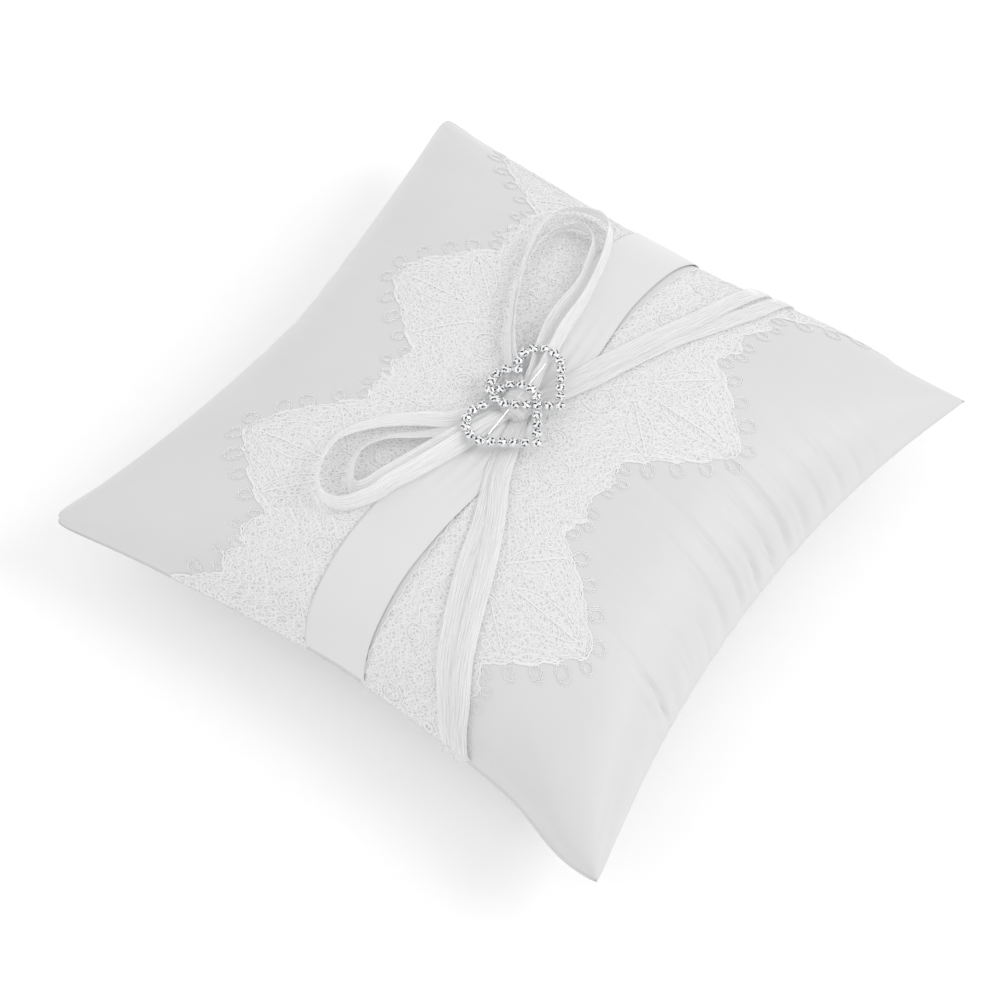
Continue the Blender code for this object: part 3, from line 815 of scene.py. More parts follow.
def rolled(share, rolls):
    """How far, in radians, a loop's ribbon is turned on edge along its length."""
    fine = np.linspace(0, 1, 101)
    steps = np.interp(fine, np.linspace(0, 1, len(rolls)), rolls)
    return np.interp(share, fine, evened(steps, ROLL_EVENING))


def make_ribbon(cushion, name, points, loop, levels, rolls, material):
    """One ribbon, flat as a tail, or turned on edge by its rolls as a loop."""
    ends = [knot_edge(points[-1])] if loop else []
    route = smooth_route([knot_edge(points[0]), *points, *ends], RIBBON_SPANS)
    share = np.linspace(0, 1, len(route))
    across, along = route.T
    level = levels[0] + (levels[1] - levels[0]) * ease(share)
    rise = ribbon_rise(level)
    if not loop:
        tuck = ease((share - TAIL_TUCK_START) / (1 - TAIL_TUCK_START))
        rise = rise * (1 - tuck) - TAIL_TUCK_DEPTH * tuck
    from_knot = np.hypot(across - KNOT[0], along - KNOT[1]) - KNOT_RADIUS
    spread = np.clip(from_knot / RIBBON_PINCH_REACH, 0, 1)
    on_edge = rolled(share, rolls) * ease(from_knot / ROLL_REACH) if loop else np.zeros(len(share))
    halves = (RIBBON_PINCH + (RIBBON_WIDTH - RIBBON_PINCH) * spread) / 2
    rise = rise + halves * np.sin(np.abs(on_edge))
    middle = cushion.off(across, along, rise)
    normal = slope_frame(cushion.surface, across, along, 0.002)
    side, up = route_frame(middle, normal)
    turned_side = side * np.cos(on_edge)[:, None] + up * np.sin(on_edge)[:, None]
    turned_up = up * np.cos(on_edge)[:, None] - side * np.sin(on_edge)[:, None]
    lengths = np.concatenate([[0], np.cumsum(np.linalg.norm(np.diff(middle, axis=0), axis=1))])
    crown = RIBBON_CROWN + RIBBON_KNOT_CROWN * (1 - spread)
    mesh = strip_mesh(name, middle, turned_side, turned_up, halves, crown, RIBBON_THICKNESS,
                      RIBBON_STEPS, lengths)
    piece = add_object(name, mesh, material)
    stand_for(piece, "ribbon", name)


def make_ribbons(cushion, material):
    tails = (
        ("ribbon_tail_upper_a", TAIL_UPPER_A, (UPPER_TAIL_SEAM[0], SEAM_ALONG), (1, 1)),
        ("ribbon_tail_upper_b", TAIL_UPPER_B, (UPPER_TAIL_SEAM[1], SEAM_ALONG), (0, 0)),
        ("ribbon_tail_lower_a", TAIL_LOWER_A, (LOWER_TAIL_SEAM[0], -SEAM_ALONG), (0, 0)),
        ("ribbon_tail_lower_b", TAIL_LOWER_B, (LOWER_TAIL_SEAM[1], -SEAM_ALONG), (1, 1)),
    )
    loops = (
        ("ribbon_loop_upper_outer", LOOP_UPPER_OUTER, (2, 3), UPPER_ROLLS[0]),
        ("ribbon_loop_upper_inner", LOOP_UPPER_INNER, (0, 1), UPPER_ROLLS[1]),
        ("ribbon_loop_lower_outer", LOOP_LOWER_OUTER, (2, 3), LOWER_ROLLS[0]),
        ("ribbon_loop_lower_inner", LOOP_LOWER_INNER, (0, 1), LOWER_ROLLS[1]),
    )
    for name, points, end, levels in tails:
        make_ribbon(cushion, name, points + [end], False, levels, None, material)
    for name, points, levels, rolls in loops:
        make_ribbon(cushion, name, points, True, levels, rolls, material)


# ---------------------------------------------------------------- the cover

def dense_rows(cells):
    """Rows from seam to seam, closer together where the folds are."""
    start, end, closer = DENSE_ROWS
    fine = np.linspace(-SEAM_ALONG, SEAM_ALONG, 2001)
    weight = np.where((fine > start) & (fine < end), closer, 1.0)
    reached = np.concatenate([[0.0], np.cumsum((weight[1:] + weight[:-1]) / 2)])
    return np.interp(np.linspace(0, 1, cells + 1), reached / reached[-1], fine)


def make_cushion(cushion, material):
    columns = seam_to_seam(SEAM_ACROSS, PANEL_CELLS)
    rows = dense_rows(PANEL_CELLS)
    across, along = np.meshgrid(columns, rows)
    front = cushion.surface(across, along, True, groove=True)
    back = cushion.surface(across, along, False, groove=True)
    edge = np.zeros(across.shape, bool)
    edge[0] = edge[-1] = edge[:, 0] = edge[:, -1] = True
    front[edge] = (front[edge] + back[edge]) / 2
    mesh = closed_cushion("cushion", columns, rows, front, back)
    piece = add_object("cushion", mesh, material)
    stand_for(piece, "satin", "cover_front", "cover_back", "filling")


def band_rise(share, rows):
    """Height of the band off the panel: crowned, pleated at the buckle, tucked in at the seams."""
    height, pleats, phase, reach = BAND_PLEATS
    start, length, depth = BAND_TUCK
    near = np.exp(-(rows / reach) ** 2)
    pleat = height * near * np.cos(math.pi * pleats * share + phase)
    tuck = ease((np.abs(rows) / SEAM_ALONG - start) / length)
    crown = BAND_CROWN * np.cos(share * math.pi / 2)
    return (LACE_BODY + crown) * (1 - tuck) - depth * tuck + pleat


def make_band(cushion, material):
    along = np.linspace(-BAND_REACH * SEAM_ALONG, BAND_REACH * SEAM_ALONG, BAND_ROWS)
    middle = evened(np.interp(along, BAND_ALONG, BAND_MIDDLE), BAND_EVENING)
    half = evened(np.interp(along, BAND_ALONG, BAND_HALF), BAND_EVENING)
    share = np.linspace(-1, 1, BAND_STEPS + 1)
    across = middle[:, None] + half[:, None] * share
    rows = np.repeat(along[:, None], BAND_STEPS + 1, 1)
    rise = band_rise(share, rows)
    under = cushion.off(across, rows, rise)
    top = cushion.off(across, rows, rise + BAND_THICKNESS)
    ring = 2 * (BAND_STEPS + 1)
    points = np.concatenate([top, under[:, ::-1]], 1)
    index = np.arange(BAND_ROWS * ring).reshape(BAND_ROWS, ring)
    faces = ring_faces(index)[:, [0, 3, 2, 1]].tolist()
    faces.append(index[0][::-1].tolist())
    faces.append(index[-1].tolist())
    mesh = mesh_from("satin_band", points, faces)
    places = np.stack([across, rows], -1)
    add_cloth_map(mesh, np.concatenate([places, places[:, ::-1]], 1).reshape(-1, 2))
    piece = add_object("satin_band", mesh, material)
    stand_for(piece, "satin", "satin_band")


# --------------------------------------------------------------------- lace

def cloth_length_table(seam, crosswise):
    """Places from a panel's middle to its seam, and the lengths of cloth to them."""
    places = np.linspace(0, seam, 400)
    fixed = np.full_like(places, 0.020)
    points = panel(places, fixed) if crosswise else panel(fixed, places)
    steps = np.linalg.norm(np.diff(points, axis=0), axis=1)
    return places, np.concatenate([[0], np.cumsum(steps)])


ACROSS_PLACES, ACROSS_LENGTHS = cloth_length_table(SEAM_ACROSS, True)
ALONG_PLACES, ALONG_LENGTHS = cloth_length_table(SEAM_ALONG, False)
LACE_END = ALONG_LENGTHS[-1] * 0.998


class Lace:
    """Threads of one edging, drawn in the flat: (out from the band's middle, along it)."""

    def __init__(self, turn, repeat, leaf):
        self.turn = turn
        self.repeat = repeat
        self.leaf = leaf
        self.random = np.random.RandomState(11 + turn)
        self.threads = []
        self.shapes = []

    def from_leaf(self, along):
        """Distance along from the middle of the nearest leaf."""
        return (along - self.leaf + self.repeat / 2) % self.repeat - self.repeat / 2

    def edge(self, along):
        """Distance out to the edge cord, without the picots."""
        place = np.abs(self.from_leaf(along))
        leaf = np.clip(place / LEAF_HALF, 0, 1)
        between = np.clip((place - LEAF_HALF) / (self.repeat / 2 - LEAF_HALF), 0, 1)
        scallop = LOBE_RISE * np.sin(math.pi * between) ** 2
        lobes = LOBE_DEPTH * (np.abs(np.sin(math.pi * place / PICOT_PITCH)) ** 0.7 - 1)
        return LACE_TIP - (LACE_TIP - LACE_VALLEY) * leaf ** LEAF_FULLNESS + scallop + lobes

    def add(self, points, radius, height, closed=False, wobble=0.0):
        points = np.array(points, float)
        if wobble:
            points = points + self.random.uniform(-wobble, wobble, points.shape)
        self.threads.append((points, radius, height, closed))

    def ring(self, centre, radii, radius, height, turn=0.0, sides=14, nubs=0.0):
        """An oval ring of thread; nubs is how far its stitches stand out."""
        angle = np.linspace(0, 2 * math.pi, sides, endpoint=False)
        swell = 1 + nubs * np.where(np.arange(sides) % 2, 1, -1)
        x = radii[0] * swell * np.cos(angle)
        y = radii[1] * swell * np.sin(angle)
        points = np.stack([centre[0] + x * math.cos(turn) - y * math.sin(turn),
                           centre[1] + x * math.sin(turn) + y * math.cos(turn)], -1)
        self.add(points, radius, height, True, 0.00012)

    def clear(self, points):
        """Keeps the ground net out of a closed outline."""
        self.shapes.append(np.array(points))

    def is_free(self, points):
        free = (np.abs(points[:, 1]) < LACE_END) & (points[:, 0] < self.edge(points[:, 1]) + 1e-5)
        for outline in self.shapes:
            low = outline.min(0)
            high = outline.max(0)
            near = np.all((points > low) & (points < high), axis=1)
            if near.any():
                free[near] &= ~inside_outline(points[near], outline)
        return free

    def add_free(self, points, radius, height, wobble):
        """A thread of the ground, cut where a motif or the edge is in its way."""
        points = np.array(points, float)
        free = self.is_free(points)
        start = None
        for i in range(len(points) + 1):
            if i < len(points) and free[i]:
                start = i if start is None else start
            elif start is not None:
                if i - start > 1:
                    self.add(points[start:i], radius, height, False, wobble)
                start = None


def ray_at(turn):
    return np.array([math.cos(turn), math.sin(turn)])


def circle(centre, radius, count):
    """Points round a circle."""
    angle = np.linspace(0, 2 * math.pi, count, endpoint=False)
    return np.array(centre) + radius * np.stack([np.cos(angle), np.sin(angle)], -1)


def inside_outline(points, outline):
    """Whether points are inside a closed outline, by counting crossings."""
    x = points[:, 0][:, None]
    y = points[:, 1][:, None]
    x0, y0 = outline.T
    x1, y1 = np.roll(outline, -1, 0).T
    spans = (y0 > y) != (y1 > y)
    with np.errstate(divide="ignore", invalid="ignore"):
        cross = (x1 - x0) * (y - y0) / (y1 - y0) + x0
    return (spans & (x < cross)).sum(1) % 2 == 1


def almond(base, heading, length, half, count=12):
    """Both sides and the middle of a leaflet, from its base to its tip."""
    share = np.linspace(0, 1, count)
    bulge = half * np.sin(math.pi * share) ** 0.75
    ahead = ray_at(heading)
    aside = np.array([-ahead[1], ahead[0]])
    middle = np.array(base) + np.outer(share * length, ahead)
    return middle + np.outer(bulge, aside), middle - np.outer(bulge, aside), middle


def add_leaflet(lace, base, heading, length, half):
    """A leaflet: a cord outline, a vein and slanting bars with slots between."""
    first, second, middle = almond(base, heading, length, half)
    outline = np.concatenate([first, second[::-1][1:-1]])
    lace.clear(outline)
    lace.add(outline, CORD_RADIUS * 0.9, CORD_HEIGHT, True, 0.00020)
    lace.add(middle, CORD_RADIUS, 0.0005, False, 0.00015)
    bars = int(length / 0.0017)
    ahead = (middle[-1] - middle[0]) / length
    aside = np.array([-ahead[1], ahead[0]])
    for k in range(1, bars):
        share = k / bars
        reach = half * math.sin(math.pi * min(share + 0.10, 0.97)) ** 0.75
        root = middle[0] + ahead * length * share
        for side in (1, -1):
            tip = root + ahead * length * 0.10 + aside * side * reach
            lace.add([root, (root + tip) / 2 + ahead * 0.0002, tip], THREAD_RADIUS, THREAD_HEIGHT)


def add_bars(lace, centre, inner, outer, turns):
    """Straight bars that stand out from a centre, from one radius to another."""
    for turn in turns:
        ray = ray_at(turn)
        bar = [np.array(centre) + ray * inner, np.array(centre) + ray * outer]
        lace.add(bar, THREAD_RADIUS, THREAD_HEIGHT)


def add_eyelet(lace, centre, size):
    """A round hole with a stitched rim."""
    lace.ring(centre, (size, size), CORD_RADIUS, CORD_HEIGHT, sides=12)
    lace.ring(centre, (size * 1.55, size * 1.55), THREAD_RADIUS, THREAD_HEIGHT, sides=16, nubs=0.07)
    lace.clear(circle(centre, 1.6 * size, 14))
    add_bars(lace, centre, size, size * 1.55, np.linspace(0, 2 * math.pi, 7, endpoint=False))


def add_scroll(lace, centre, size, start, turn):
    """A scroll: two cords that curl inwards with a ladder between them."""
    share = np.linspace(0, 1, 26)
    angle = start + turn * share * 2 * math.pi * 1.05
    ray = np.stack([np.cos(angle), np.sin(angle)], -1)
    outer = np.array(centre) + ray * (size * (1 - 0.55 * share))[:, None]
    inner = np.array(centre) + ray * (size * (0.72 - 0.50 * share))[:, None]
    lace.clear(circle(centre, size * 1.02, 16))
    lace.add(outer, CORD_RADIUS * 0.85, 0.00045, False, 0.00016)
    lace.add(inner, CORD_RADIUS * 0.85, CORD_HEIGHT, False, 0.00016)
    ladder = np.stack([outer[::2], inner[1::2]], 1).reshape(-1, 2)
    lace.add(ladder, THREAD_RADIUS, THREAD_HEIGHT)


def add_rosette(lace, centre, size):
    """A wheel of nine bars round a small ring."""
    lace.clear(circle(centre, size * 1.04, 18))
    lace.ring(centre, (size, size), CORD_RADIUS * 0.85, CORD_HEIGHT, sides=18, nubs=0.03)
    lace.ring(centre, (size * 0.80, size * 0.80), THREAD_RADIUS, THREAD_HEIGHT, sides=22, nubs=0.09)
    lace.ring(centre, (size * 0.32, size * 0.32), CORD_RADIUS, CORD_HEIGHT, sides=9)
    add_bars(lace, centre, size * 0.32, size * 0.80, np.linspace(0, 2 * math.pi, 9, endpoint=False))


def add_motifs(lace):
    """Leaflets, scrolls, eyelets and wheels, repeated along the edging."""
    count = int(LACE_END * 2 / lace.repeat) + 3
    for k in range(-count, count):
        leaf = lace.leaf + k * lace.repeat
        if abs(leaf) > LACE_END + lace.repeat:
            continue
        add_leaflet(lace, (0.0340, leaf), 0.0, 0.0235, 0.0043)
        for side in (1, -1):
            add_leaflet(lace, (0.0285, leaf + side * 0.0050), side * 0.78, 0.0190, 0.0037)
            add_scroll(lace, (0.0195, leaf + side * 0.0095), 0.0056, side * 2.4, -side)
            add_eyelet(lace, (0.0355, leaf + side * 0.0185), 0.0012)
            add_eyelet(lace, (0.0420, leaf + side * 0.0068), 0.0009)
            add_eyelet(lace, (0.0300, leaf + side * 0.0265), 0.0013)
        add_eyelet(lace, (0.0275, leaf), 0.0017)
        between = leaf + lace.repeat / 2
        add_rosette(lace, (0.0235, between), 0.0046)
        for side in (1, -1):
            add_eyelet(lace, (0.0335, between + side * 0.0058), 0.0013)
            add_scroll(lace, (0.0170, between + side * 0.0105), 0.0042, -side * 1.2, side)


def add_picot(lace, centre, length, width, turn):
    """Three rings of stitches, one inside another."""
    lace.ring(centre, (length, width), CORD_RADIUS * 0.62, THREAD_HEIGHT, turn, 28, 0.09)
    lace.ring(centre, (length - 0.00055, width - 0.0005), CORD_RADIUS * 0.75, CORD_HEIGHT, turn, 18, 0.05)
    lace.ring(centre, (length - 0.0011, width - 0.0010), CORD_RADIUS * 0.65, THREAD_HEIGHT, turn, 20, 0.12)


def add_picots(lace):
    """Loops with stitched rims, standing out all along the edge."""
    count = int(LACE_END * 2 / lace.repeat) + 3
    for k in range(-count, count):
        for offset, size in PICOTS:
            for side in (1, -1):
                place = lace.leaf + k * lace.repeat + side * min(offset, lace.repeat / 2)
                if abs(place) > LACE_END - 0.002 or (offset * 2 >= lace.repeat and side < 0):
                    continue
                slope = (lace.edge(place + PICOT_PITCH) - lace.edge(place - PICOT_PITCH)) / (2 * PICOT_PITCH)
                turn = math.atan2(-slope * 0.75, 1.0) + lace.random.uniform(-0.25, 0.25)
                grown = size * lace.random.uniform(0.85, 1.08)
                length = grown * PICOT_HALF[0]
                width = grown * PICOT_HALF[1]
                centre = np.array([lace.edge(place), place]) + ray_at(turn) * (length * 0.80)
                add_picot(lace, centre, length, width, turn)


def add_ground(lace):
    """Scalloped rows that lean on each other, with crossing threads between them."""
    along = np.arange(-LACE_END, LACE_END, 0.0008)
    edge = lace.edge(along)
    stitches = 0.00025 * np.sin(2 * math.pi * along / 0.0017)
    lace.add_free(np.stack([edge + stitches - 0.0002, along], -1), CORD_RADIUS, CORD_HEIGHT, 0.00008)
    second = np.stack([edge - stitches - 0.0009, along], -1)
    lace.add_free(second, THREAD_RADIUS * 1.2, THREAD_HEIGHT, 0.00010)
    smooth_edge = np.convolve(np.pad(edge, 6, mode="edge"), np.ones(13) / 13, "valid")
    start = smooth_edge - 0.0022
    previous = edge - 0.0002
    for row in range(GROUND_ROWS + 1):
        share = row / GROUND_ROWS
        wander = (0.0005 * np.sin(2 * math.pi * along / 0.0131 + 2.1 * row)
                  + 0.0003 * np.sin(along / 0.0011 + row))
        scales = SCALE_DEPTH * (np.abs(np.sin(math.pi * (along / SCALE_PITCH + 0.5 * row))) - 0.6)
        line = start + (LACE_INNER - start) * share + (scales + wander) * (1 - 0.7 * (share > 0.98))
        lace.add_free(np.stack([line, along], -1), THREAD_RADIUS * 1.15, THREAD_HEIGHT, 0.00012)
        places = np.arange(-LACE_END, LACE_END, GROUND_PITCH)
        places = places + lace.random.uniform(-0.3, 0.3, len(places)) * GROUND_PITCH
        phase = np.arange(len(places)) % 2
        low = np.interp(places, along, line)
        high = np.interp(places, along, previous)
        lace.add_free(np.stack([np.where(phase, low, high), places], -1), THREAD_RADIUS, 0.00025, 0.00016)
        previous = line


def add_net(lace):
    """The machine-made net behind the threads: a thin sheet inside the lace's edge."""
    along = np.linspace(-LACE_END, LACE_END, NET_ROWS)
    share = np.linspace(0, 1, NET_COLUMNS)
    out = LACE_INNER + (lace.edge(along)[:, None] - 0.0004 - LACE_INNER) * share
    places = np.stack([out, np.repeat(along[:, None], NET_COLUMNS, 1)], -1).reshape(-1, 2)
    index = np.arange(NET_ROWS * NET_COLUMNS).reshape(NET_ROWS, NET_COLUMNS)
    top = np.concatenate([places, np.full((len(places), 1), NET_HEIGHT)], 1)
    under = np.concatenate([places, np.full((len(places), 1), NET_HEIGHT - NET_THICKNESS)], 1)
    faces = grid_faces(index)
    rim = np.concatenate([index[0], index[1:, -1], index[-1, -2::-1], index[-2:0:-1, 0]])
    after = np.roll(rim, -1)
    count = len(places)
    walls = np.stack([rim, rim + count, after + count, after], -1)
    return np.concatenate([top, under]), np.concatenate([faces, faces[:, ::-1] + count, walls]).tolist()


def tube(points, radius, height, closed, sides):
    """A thread swept along points in the flat: (out, along, height) and its faces."""
    if closed:
        ahead = np.roll(points, -1, 0) - np.roll(points, 1, 0)
    else:
        ahead = np.gradient(points, axis=0)
    ahead /= np.maximum(np.linalg.norm(ahead, axis=1, keepdims=True), 1e-9)
    aside = np.stack([-ahead[:, 1], ahead[:, 0]], -1)
    angle = 2 * math.pi * (np.arange(sides) + 0.5) / sides
    flat = points[:, None] + aside[:, None] * (radius * np.cos(angle))[None, :, None]
    heights = np.broadcast_to(THREAD_FLATNESS * (height + radius * np.sin(angle)), flat.shape[:2])
    count = len(points)
    index = np.arange(count * sides).reshape(count, sides)
    if closed:
        faces = ring_faces(np.concatenate([index, index[:1]])).tolist()
    else:
        faces = ring_faces(index).tolist() + [index[0].tolist(), index[-1][::-1].tolist()]
    return np.concatenate([flat, heights[..., None]], -1).reshape(-1, 3), faces


def swept_threads(lace):
    """All of a lace's threads as one set of points and faces, in the flat."""
    all_points = []
    all_faces = []
    start = 0
    for points, radius, height, closed in lace.threads:
        if np.abs(points[:, 1]).max() > LACE_END:
            continue
        if points[:, 0].max() > lace.edge(points[:, 1]).max() + 0.008:
            continue
        swept, faces = tube(points, radius, height, closed, 5 if radius >= CORD_RADIUS else 4)
        all_points.append(swept)
        all_faces.extend([[i + start for i in face] for face in faces])
        start += len(swept)
    return np.concatenate(all_points), all_faces


def laid_on(cushion, lace, flat):
    """Points of the flat lace, laid on the cushion by the length of its cloth."""
    across = lace.turn * np.interp(flat[:, 0], ACROSS_LENGTHS, ACROSS_PLACES)
    along = np.sign(flat[:, 1]) * np.interp(np.abs(flat[:, 1]), ALONG_LENGTHS, ALONG_PLACES)
    return cushion.off(across, along, flat[:, 2])


def make_lace(cushion, name, side, thread_look, net_look):
    """One edging: its threads, and its net as a piece of its own."""
    lace = Lace(**side)
    add_motifs(lace)
    add_ground(lace)
    add_picots(lace)
    parts = (
        (name, swept_threads(lace), thread_look, False),
        (name + "_net", add_net(lace), net_look, True),
    )
    for piece_name, (flat, faces), look, smooth in parts:
        if lace.turn < 0:
            faces = [face[::-1] for face in faces]
        mesh = mesh_from(piece_name, laid_on(cushion, lace, flat), faces, smooth)
        add_cloth_map(mesh, flat[:, :2])
        piece = add_object(piece_name, mesh, look)
        stand_for(piece, "lace", name)


# ------------------------------------------------------------- knot, buckle

def knot_point(centre, size, ring, turn):
    """A point of the wound ribbon: ring runs along the winding, turn goes round it."""
    reach = (1 - abs(ring) ** 2.6) ** 0.38
    wide = math.copysign(abs(math.cos(turn)) ** 0.8, math.cos(turn))
    tall = math.copysign(abs(math.sin(turn)) ** 0.8, math.sin(turn))
    fold = 1 + 0.05 * math.cos(9 * ring + 0.8 * math.sin(turn)) * (1 - ring * ring)
    return (centre.x + size.x * wide * reach * fold,
            centre.y + size.y * ring,
            centre.z + (size.z + KNOT_SWELL) * tall * reach * fold)


def make_knot(material):
    """The bow's middle: ribbon wound round the loops, with its folds side by side."""
    low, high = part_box("bow_knot")
    centre = (low + high) / 2
    size = (high - low) / 2
    centre.y += KNOT_SHIFT
    size.y *= KNOT_STRETCH
    turns = np.linspace(0, 2 * math.pi, KNOT_SIDES, endpoint=False)
    rings = np.linspace(-1, 1, KNOT_RINGS)
    points = [knot_point(centre, size, ring, turn) for ring in rings for turn in turns]
    index = np.arange(len(points)).reshape(KNOT_RINGS, KNOT_SIDES)
    mesh = mesh_from("bow_knot", points, ring_faces(index).tolist())
    add_cloth_map(mesh, [(p[1], p[0]) for p in points])
    knot = add_object("bow_knot", mesh, material)
    stand_for(knot, "ribbon", "bow_knot")


def stone_places():
    """Name and middle of each stone that the solids have."""
    places = []
    for name in sorted(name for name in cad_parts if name.startswith("rhinestone")):
        low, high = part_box(name)
        places.append((name, (low.x + high.x) / 2, (low.y + high.y) / 2))
    return places


def lathe(rings, sides):
    """A closed solid of revolution round +Z: rings of (radius, height)."""
    points = []
    for radius, height in rings:
        for i in range(sides):
            turn = 2 * math.pi * i / sides
            points.append((radius * math.cos(turn), radius * math.sin(turn), height))
    faces = [tuple(reversed(range(sides)))]
    for k in range(len(rings) - 1):
        for i in range(sides):
            after = (i + 1) % sides
            faces.append((k * sides + i, k * sides + after, (k + 1) * sides + after, (k + 1) * sides + i))
    faces.append(tuple(range((len(rings) - 1) * sides, len(rings) * sides)))
    return points, faces


def stone_mesh(name, n=8):
    """A round stone, brilliant cut: table, stars, kites and girdle facets."""
    points = []
    sides = (2 * n, 2 * n, 2 * n, n, n)
    phases = (0.0, 0.0, 0.0, 0.5, 0.0)
    starts = []
    for (radius, height), count, phase in zip(STONE_CUT, sides, phases):
        starts.append(len(points))
        for i in range(count):
            turn = 2 * math.pi * (i + phase) / count
            points.append((radius * STONE_RADIUS * math.cos(turn), radius * STONE_RADIUS * math.sin(turn),
                           height * STONE_HEIGHT))
    base, girdle, edge, middle, table = starts
    faces = [tuple(base + i for i in reversed(range(2 * n)))]
    for low, high in ((base, girdle), (girdle, edge)):
        for i in range(2 * n):
            j = (i + 1) % (2 * n)
            faces.append((low + i, low + j, high + j, high + i))
    for k in range(n):
        after = (k + 1) % n
        before = (k - 1) % n
        here = edge + 2 * k
        half = edge + 2 * k + 1
        beyond = edge + (2 * k + 2) % (2 * n)
        faces.append((here, half, middle + k))
        faces.append((half, beyond, middle + k))
        faces.append((middle + before, here, middle + k, table + k))
        faces.append((middle + k, table + after, table + k))
    faces.append(tuple(table + k for k in range(n)))
    return mesh_from(name, points, faces, smooth=False)


def place_mesh(points, faces, move, turn, batch):
    """Adds a turned and moved copy of a small solid to a batch of points and faces."""
    start = len(batch[0])
    cos, sin = math.cos(turn), math.sin(turn)
    for x, y, z in points:
        batch[0].append((move[0] + x * cos - y * sin, move[1] + x * sin + y * cos, move[2] + z))
    batch[1].extend([tuple(start + i for i in face) for face in faces])


def link_solid(start, end):
    """A short flat link between two cups."""
    length = math.dist(start[:2], end[:2]) / 2
    wide, tall = LINK_HALF
    points = [(x, y, z) for x in (-length, length) for y in (-wide, wide) for z in (-tall, tall)]
    faces = [(0, 1, 3, 2), (4, 6, 7, 5), (0, 4, 5, 1), (2, 3, 7, 6), (0, 2, 6, 4), (1, 5, 7, 3)]
    middle = [(a + b) / 2 for a, b in zip(start, end)]
    return points, faces, middle, math.atan2(end[1] - start[1], end[0] - start[0])


def bar_solid(start, end, radius, sides=10):
    """A round bar between two points at one height."""
    ahead = np.array(end) - np.array(start)
    ahead = ahead / np.linalg.norm(ahead)
    aside = np.array([-ahead[1], ahead[0], 0.0])
    points = []
    for place in (start, end):
        for i in range(sides):
            turn = 2 * math.pi * i / sides
            ray = aside * math.cos(turn) + np.array([0, 0, math.sin(turn)])
            points.append(tuple(np.array(place) + radius * ray))
    faces = [(i, i + sides, (i + 1) % sides + sides, (i + 1) % sides) for i in range(sides)]
    faces.append(tuple(range(sides)))
    faces.append(tuple(reversed(range(sides, 2 * sides))))
    return points, faces


def cup_solid():
    return lathe(((CUP_RADIUS * 0.92, 0.0), (CUP_RADIUS, 0.0002), (CUP_RADIUS, CUP_HEIGHT),
                  (CUP_RADIUS * 0.90, CUP_HEIGHT + 0.0001), (CUP_RADIUS * 0.86, CUP_HEIGHT - 0.0003)),
                 CUP_SIDES)


def claw_solid():
    return lathe(((PRONG_RADIUS, 0.0), (PRONG_RADIUS, CUP_HEIGHT + 0.0002),
                  (PRONG_RADIUS * 0.85, CUP_HEIGHT + 0.00045), (PRONG_RADIUS * 0.45, CUP_HEIGHT + 0.0006)),
                 PRONG_SIDES)


def add_setting(places, number, floor, batch):
    """One stone's cup and claws, and its links to the cups beside it."""
    name, x, y = places[number]
    near = sorted((math.dist((x, y), (a, b)), a, b) for other, a, b in places if other != name)
    heading = math.atan2(near[0][2] - y, near[0][1] - x)
    place_mesh(*cup_solid(), (x, y, floor), heading, batch)
    for k in range(PRONGS):
        turn = heading + math.pi / 4 + k * 2 * math.pi / PRONGS
        reach = CUP_RADIUS * PRONG_REACH
        foot = (x + reach * math.cos(turn), y + reach * math.sin(turn), floor)
        place_mesh(*claw_solid(), foot, turn, batch)
    for distance, a, b in near:
        if distance < LINK_REACH and (x, y) < (a, b):
            place_mesh(*link_solid((x, y, floor + LINK_HEIGHT), (a, b, floor + LINK_HEIGHT)), batch)


def make_stones(places, floor, crystal):
    """A cut stone in each cup, each a little askew."""
    for number, (name, x, y) in enumerate(places):
        stone = add_object(name, stone_mesh(name), crystal)
        stone.location = (x, y, floor + CUP_HEIGHT - STONE_SINK)
        stone.rotation_euler = (0.06 * math.sin(2.3 * number), 0.06 * math.cos(3.1 * number), 1.7 * number)
        stand_for(stone, "crystal", name)


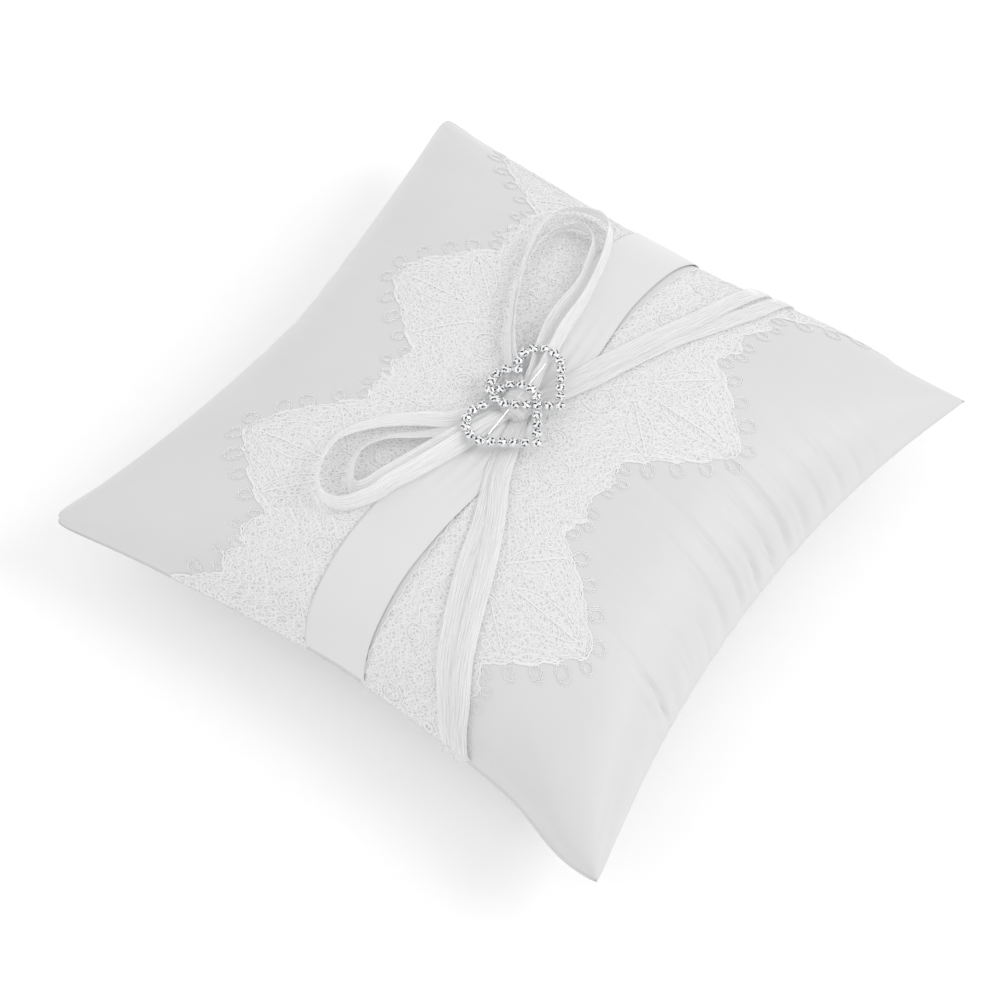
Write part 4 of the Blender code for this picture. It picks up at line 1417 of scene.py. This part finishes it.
def make_buckle(silver, crystal):
    """Cups with claws, linked in a line, a bar under the knot, and the stones."""
    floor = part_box("buckle")[0].z
    places = stone_places()
    batch = ([], [])
    for number in range(len(places)):
        add_setting(places, number, floor, batch)
    bar = bar_solid((*BAR_START, floor + BAR_RADIUS), (*BAR_END, floor + BAR_RADIUS), BAR_RADIUS)
    place_mesh(*bar, (0, 0, 0), 0.0, batch)
    buckle = add_object("buckle", mesh_from("buckle", batch[0], batch[1], smooth=False), silver)
    stand_for(buckle, "silver", "buckle")
    make_stones(places, floor, crystal)


# -------------------------------------------------------------------- stage

def make_floor():
    corners = [(x * FLOOR_HALF, y * FLOOR_HALF, 0) for x, y in ((-1, -1), (1, -1), (1, 1), (-1, 1))]
    mesh = mesh_from("floor", corners, [(0, 1, 2, 3)], False)
    floor = add_object("floor", mesh, floor_material())


def area_light(name, place, size, power):
    data = bpy.data.lights.new(name, "AREA")
    data.shape = "SQUARE"
    data.size = size
    data.energy = power
    light = add_object(name, data)
    light.location = place
    light.rotation_euler = (Vector(LIGHT_TARGET) - Vector(place)).to_track_quat("-Z", "Y").to_euler()


def make_light():
    world = bpy.data.worlds.new("studio")
    world.use_nodes = True
    background = world.node_tree.nodes["Background"].inputs
    background["Color"].default_value = (1.0, 1.0, 1.0, 1.0)
    background["Strength"].default_value = WORLD_LIGHT
    bpy.context.scene.world = world
    for name, (place, size, power) in LAMPS.items():
        area_light(name, place, size, power)
    bpy.context.scene.view_settings.view_transform = "Standard"


# --------------------------------------------------------------------- main

make_camera()
cushion = Cushion()
simulate(cushion)
ribbon = ribbon_material()
make_ribbons(cushion, ribbon)
make_knot(ribbon)
make_buckle(silver_material(), crystal_painted_reflections_material())
make_cushion(cushion, satin_material("satin", **SATIN_FINISH))
make_band(cushion, satin_material("satin_band", **BAND_FINISH))
thread_finish = lace_material()
net_finish = net_material()
for lace_name, lace_side in LACE_SIDES.items():
    make_lace(cushion, lace_name, lace_side, thread_finish, net_finish)
make_floor()
make_light()
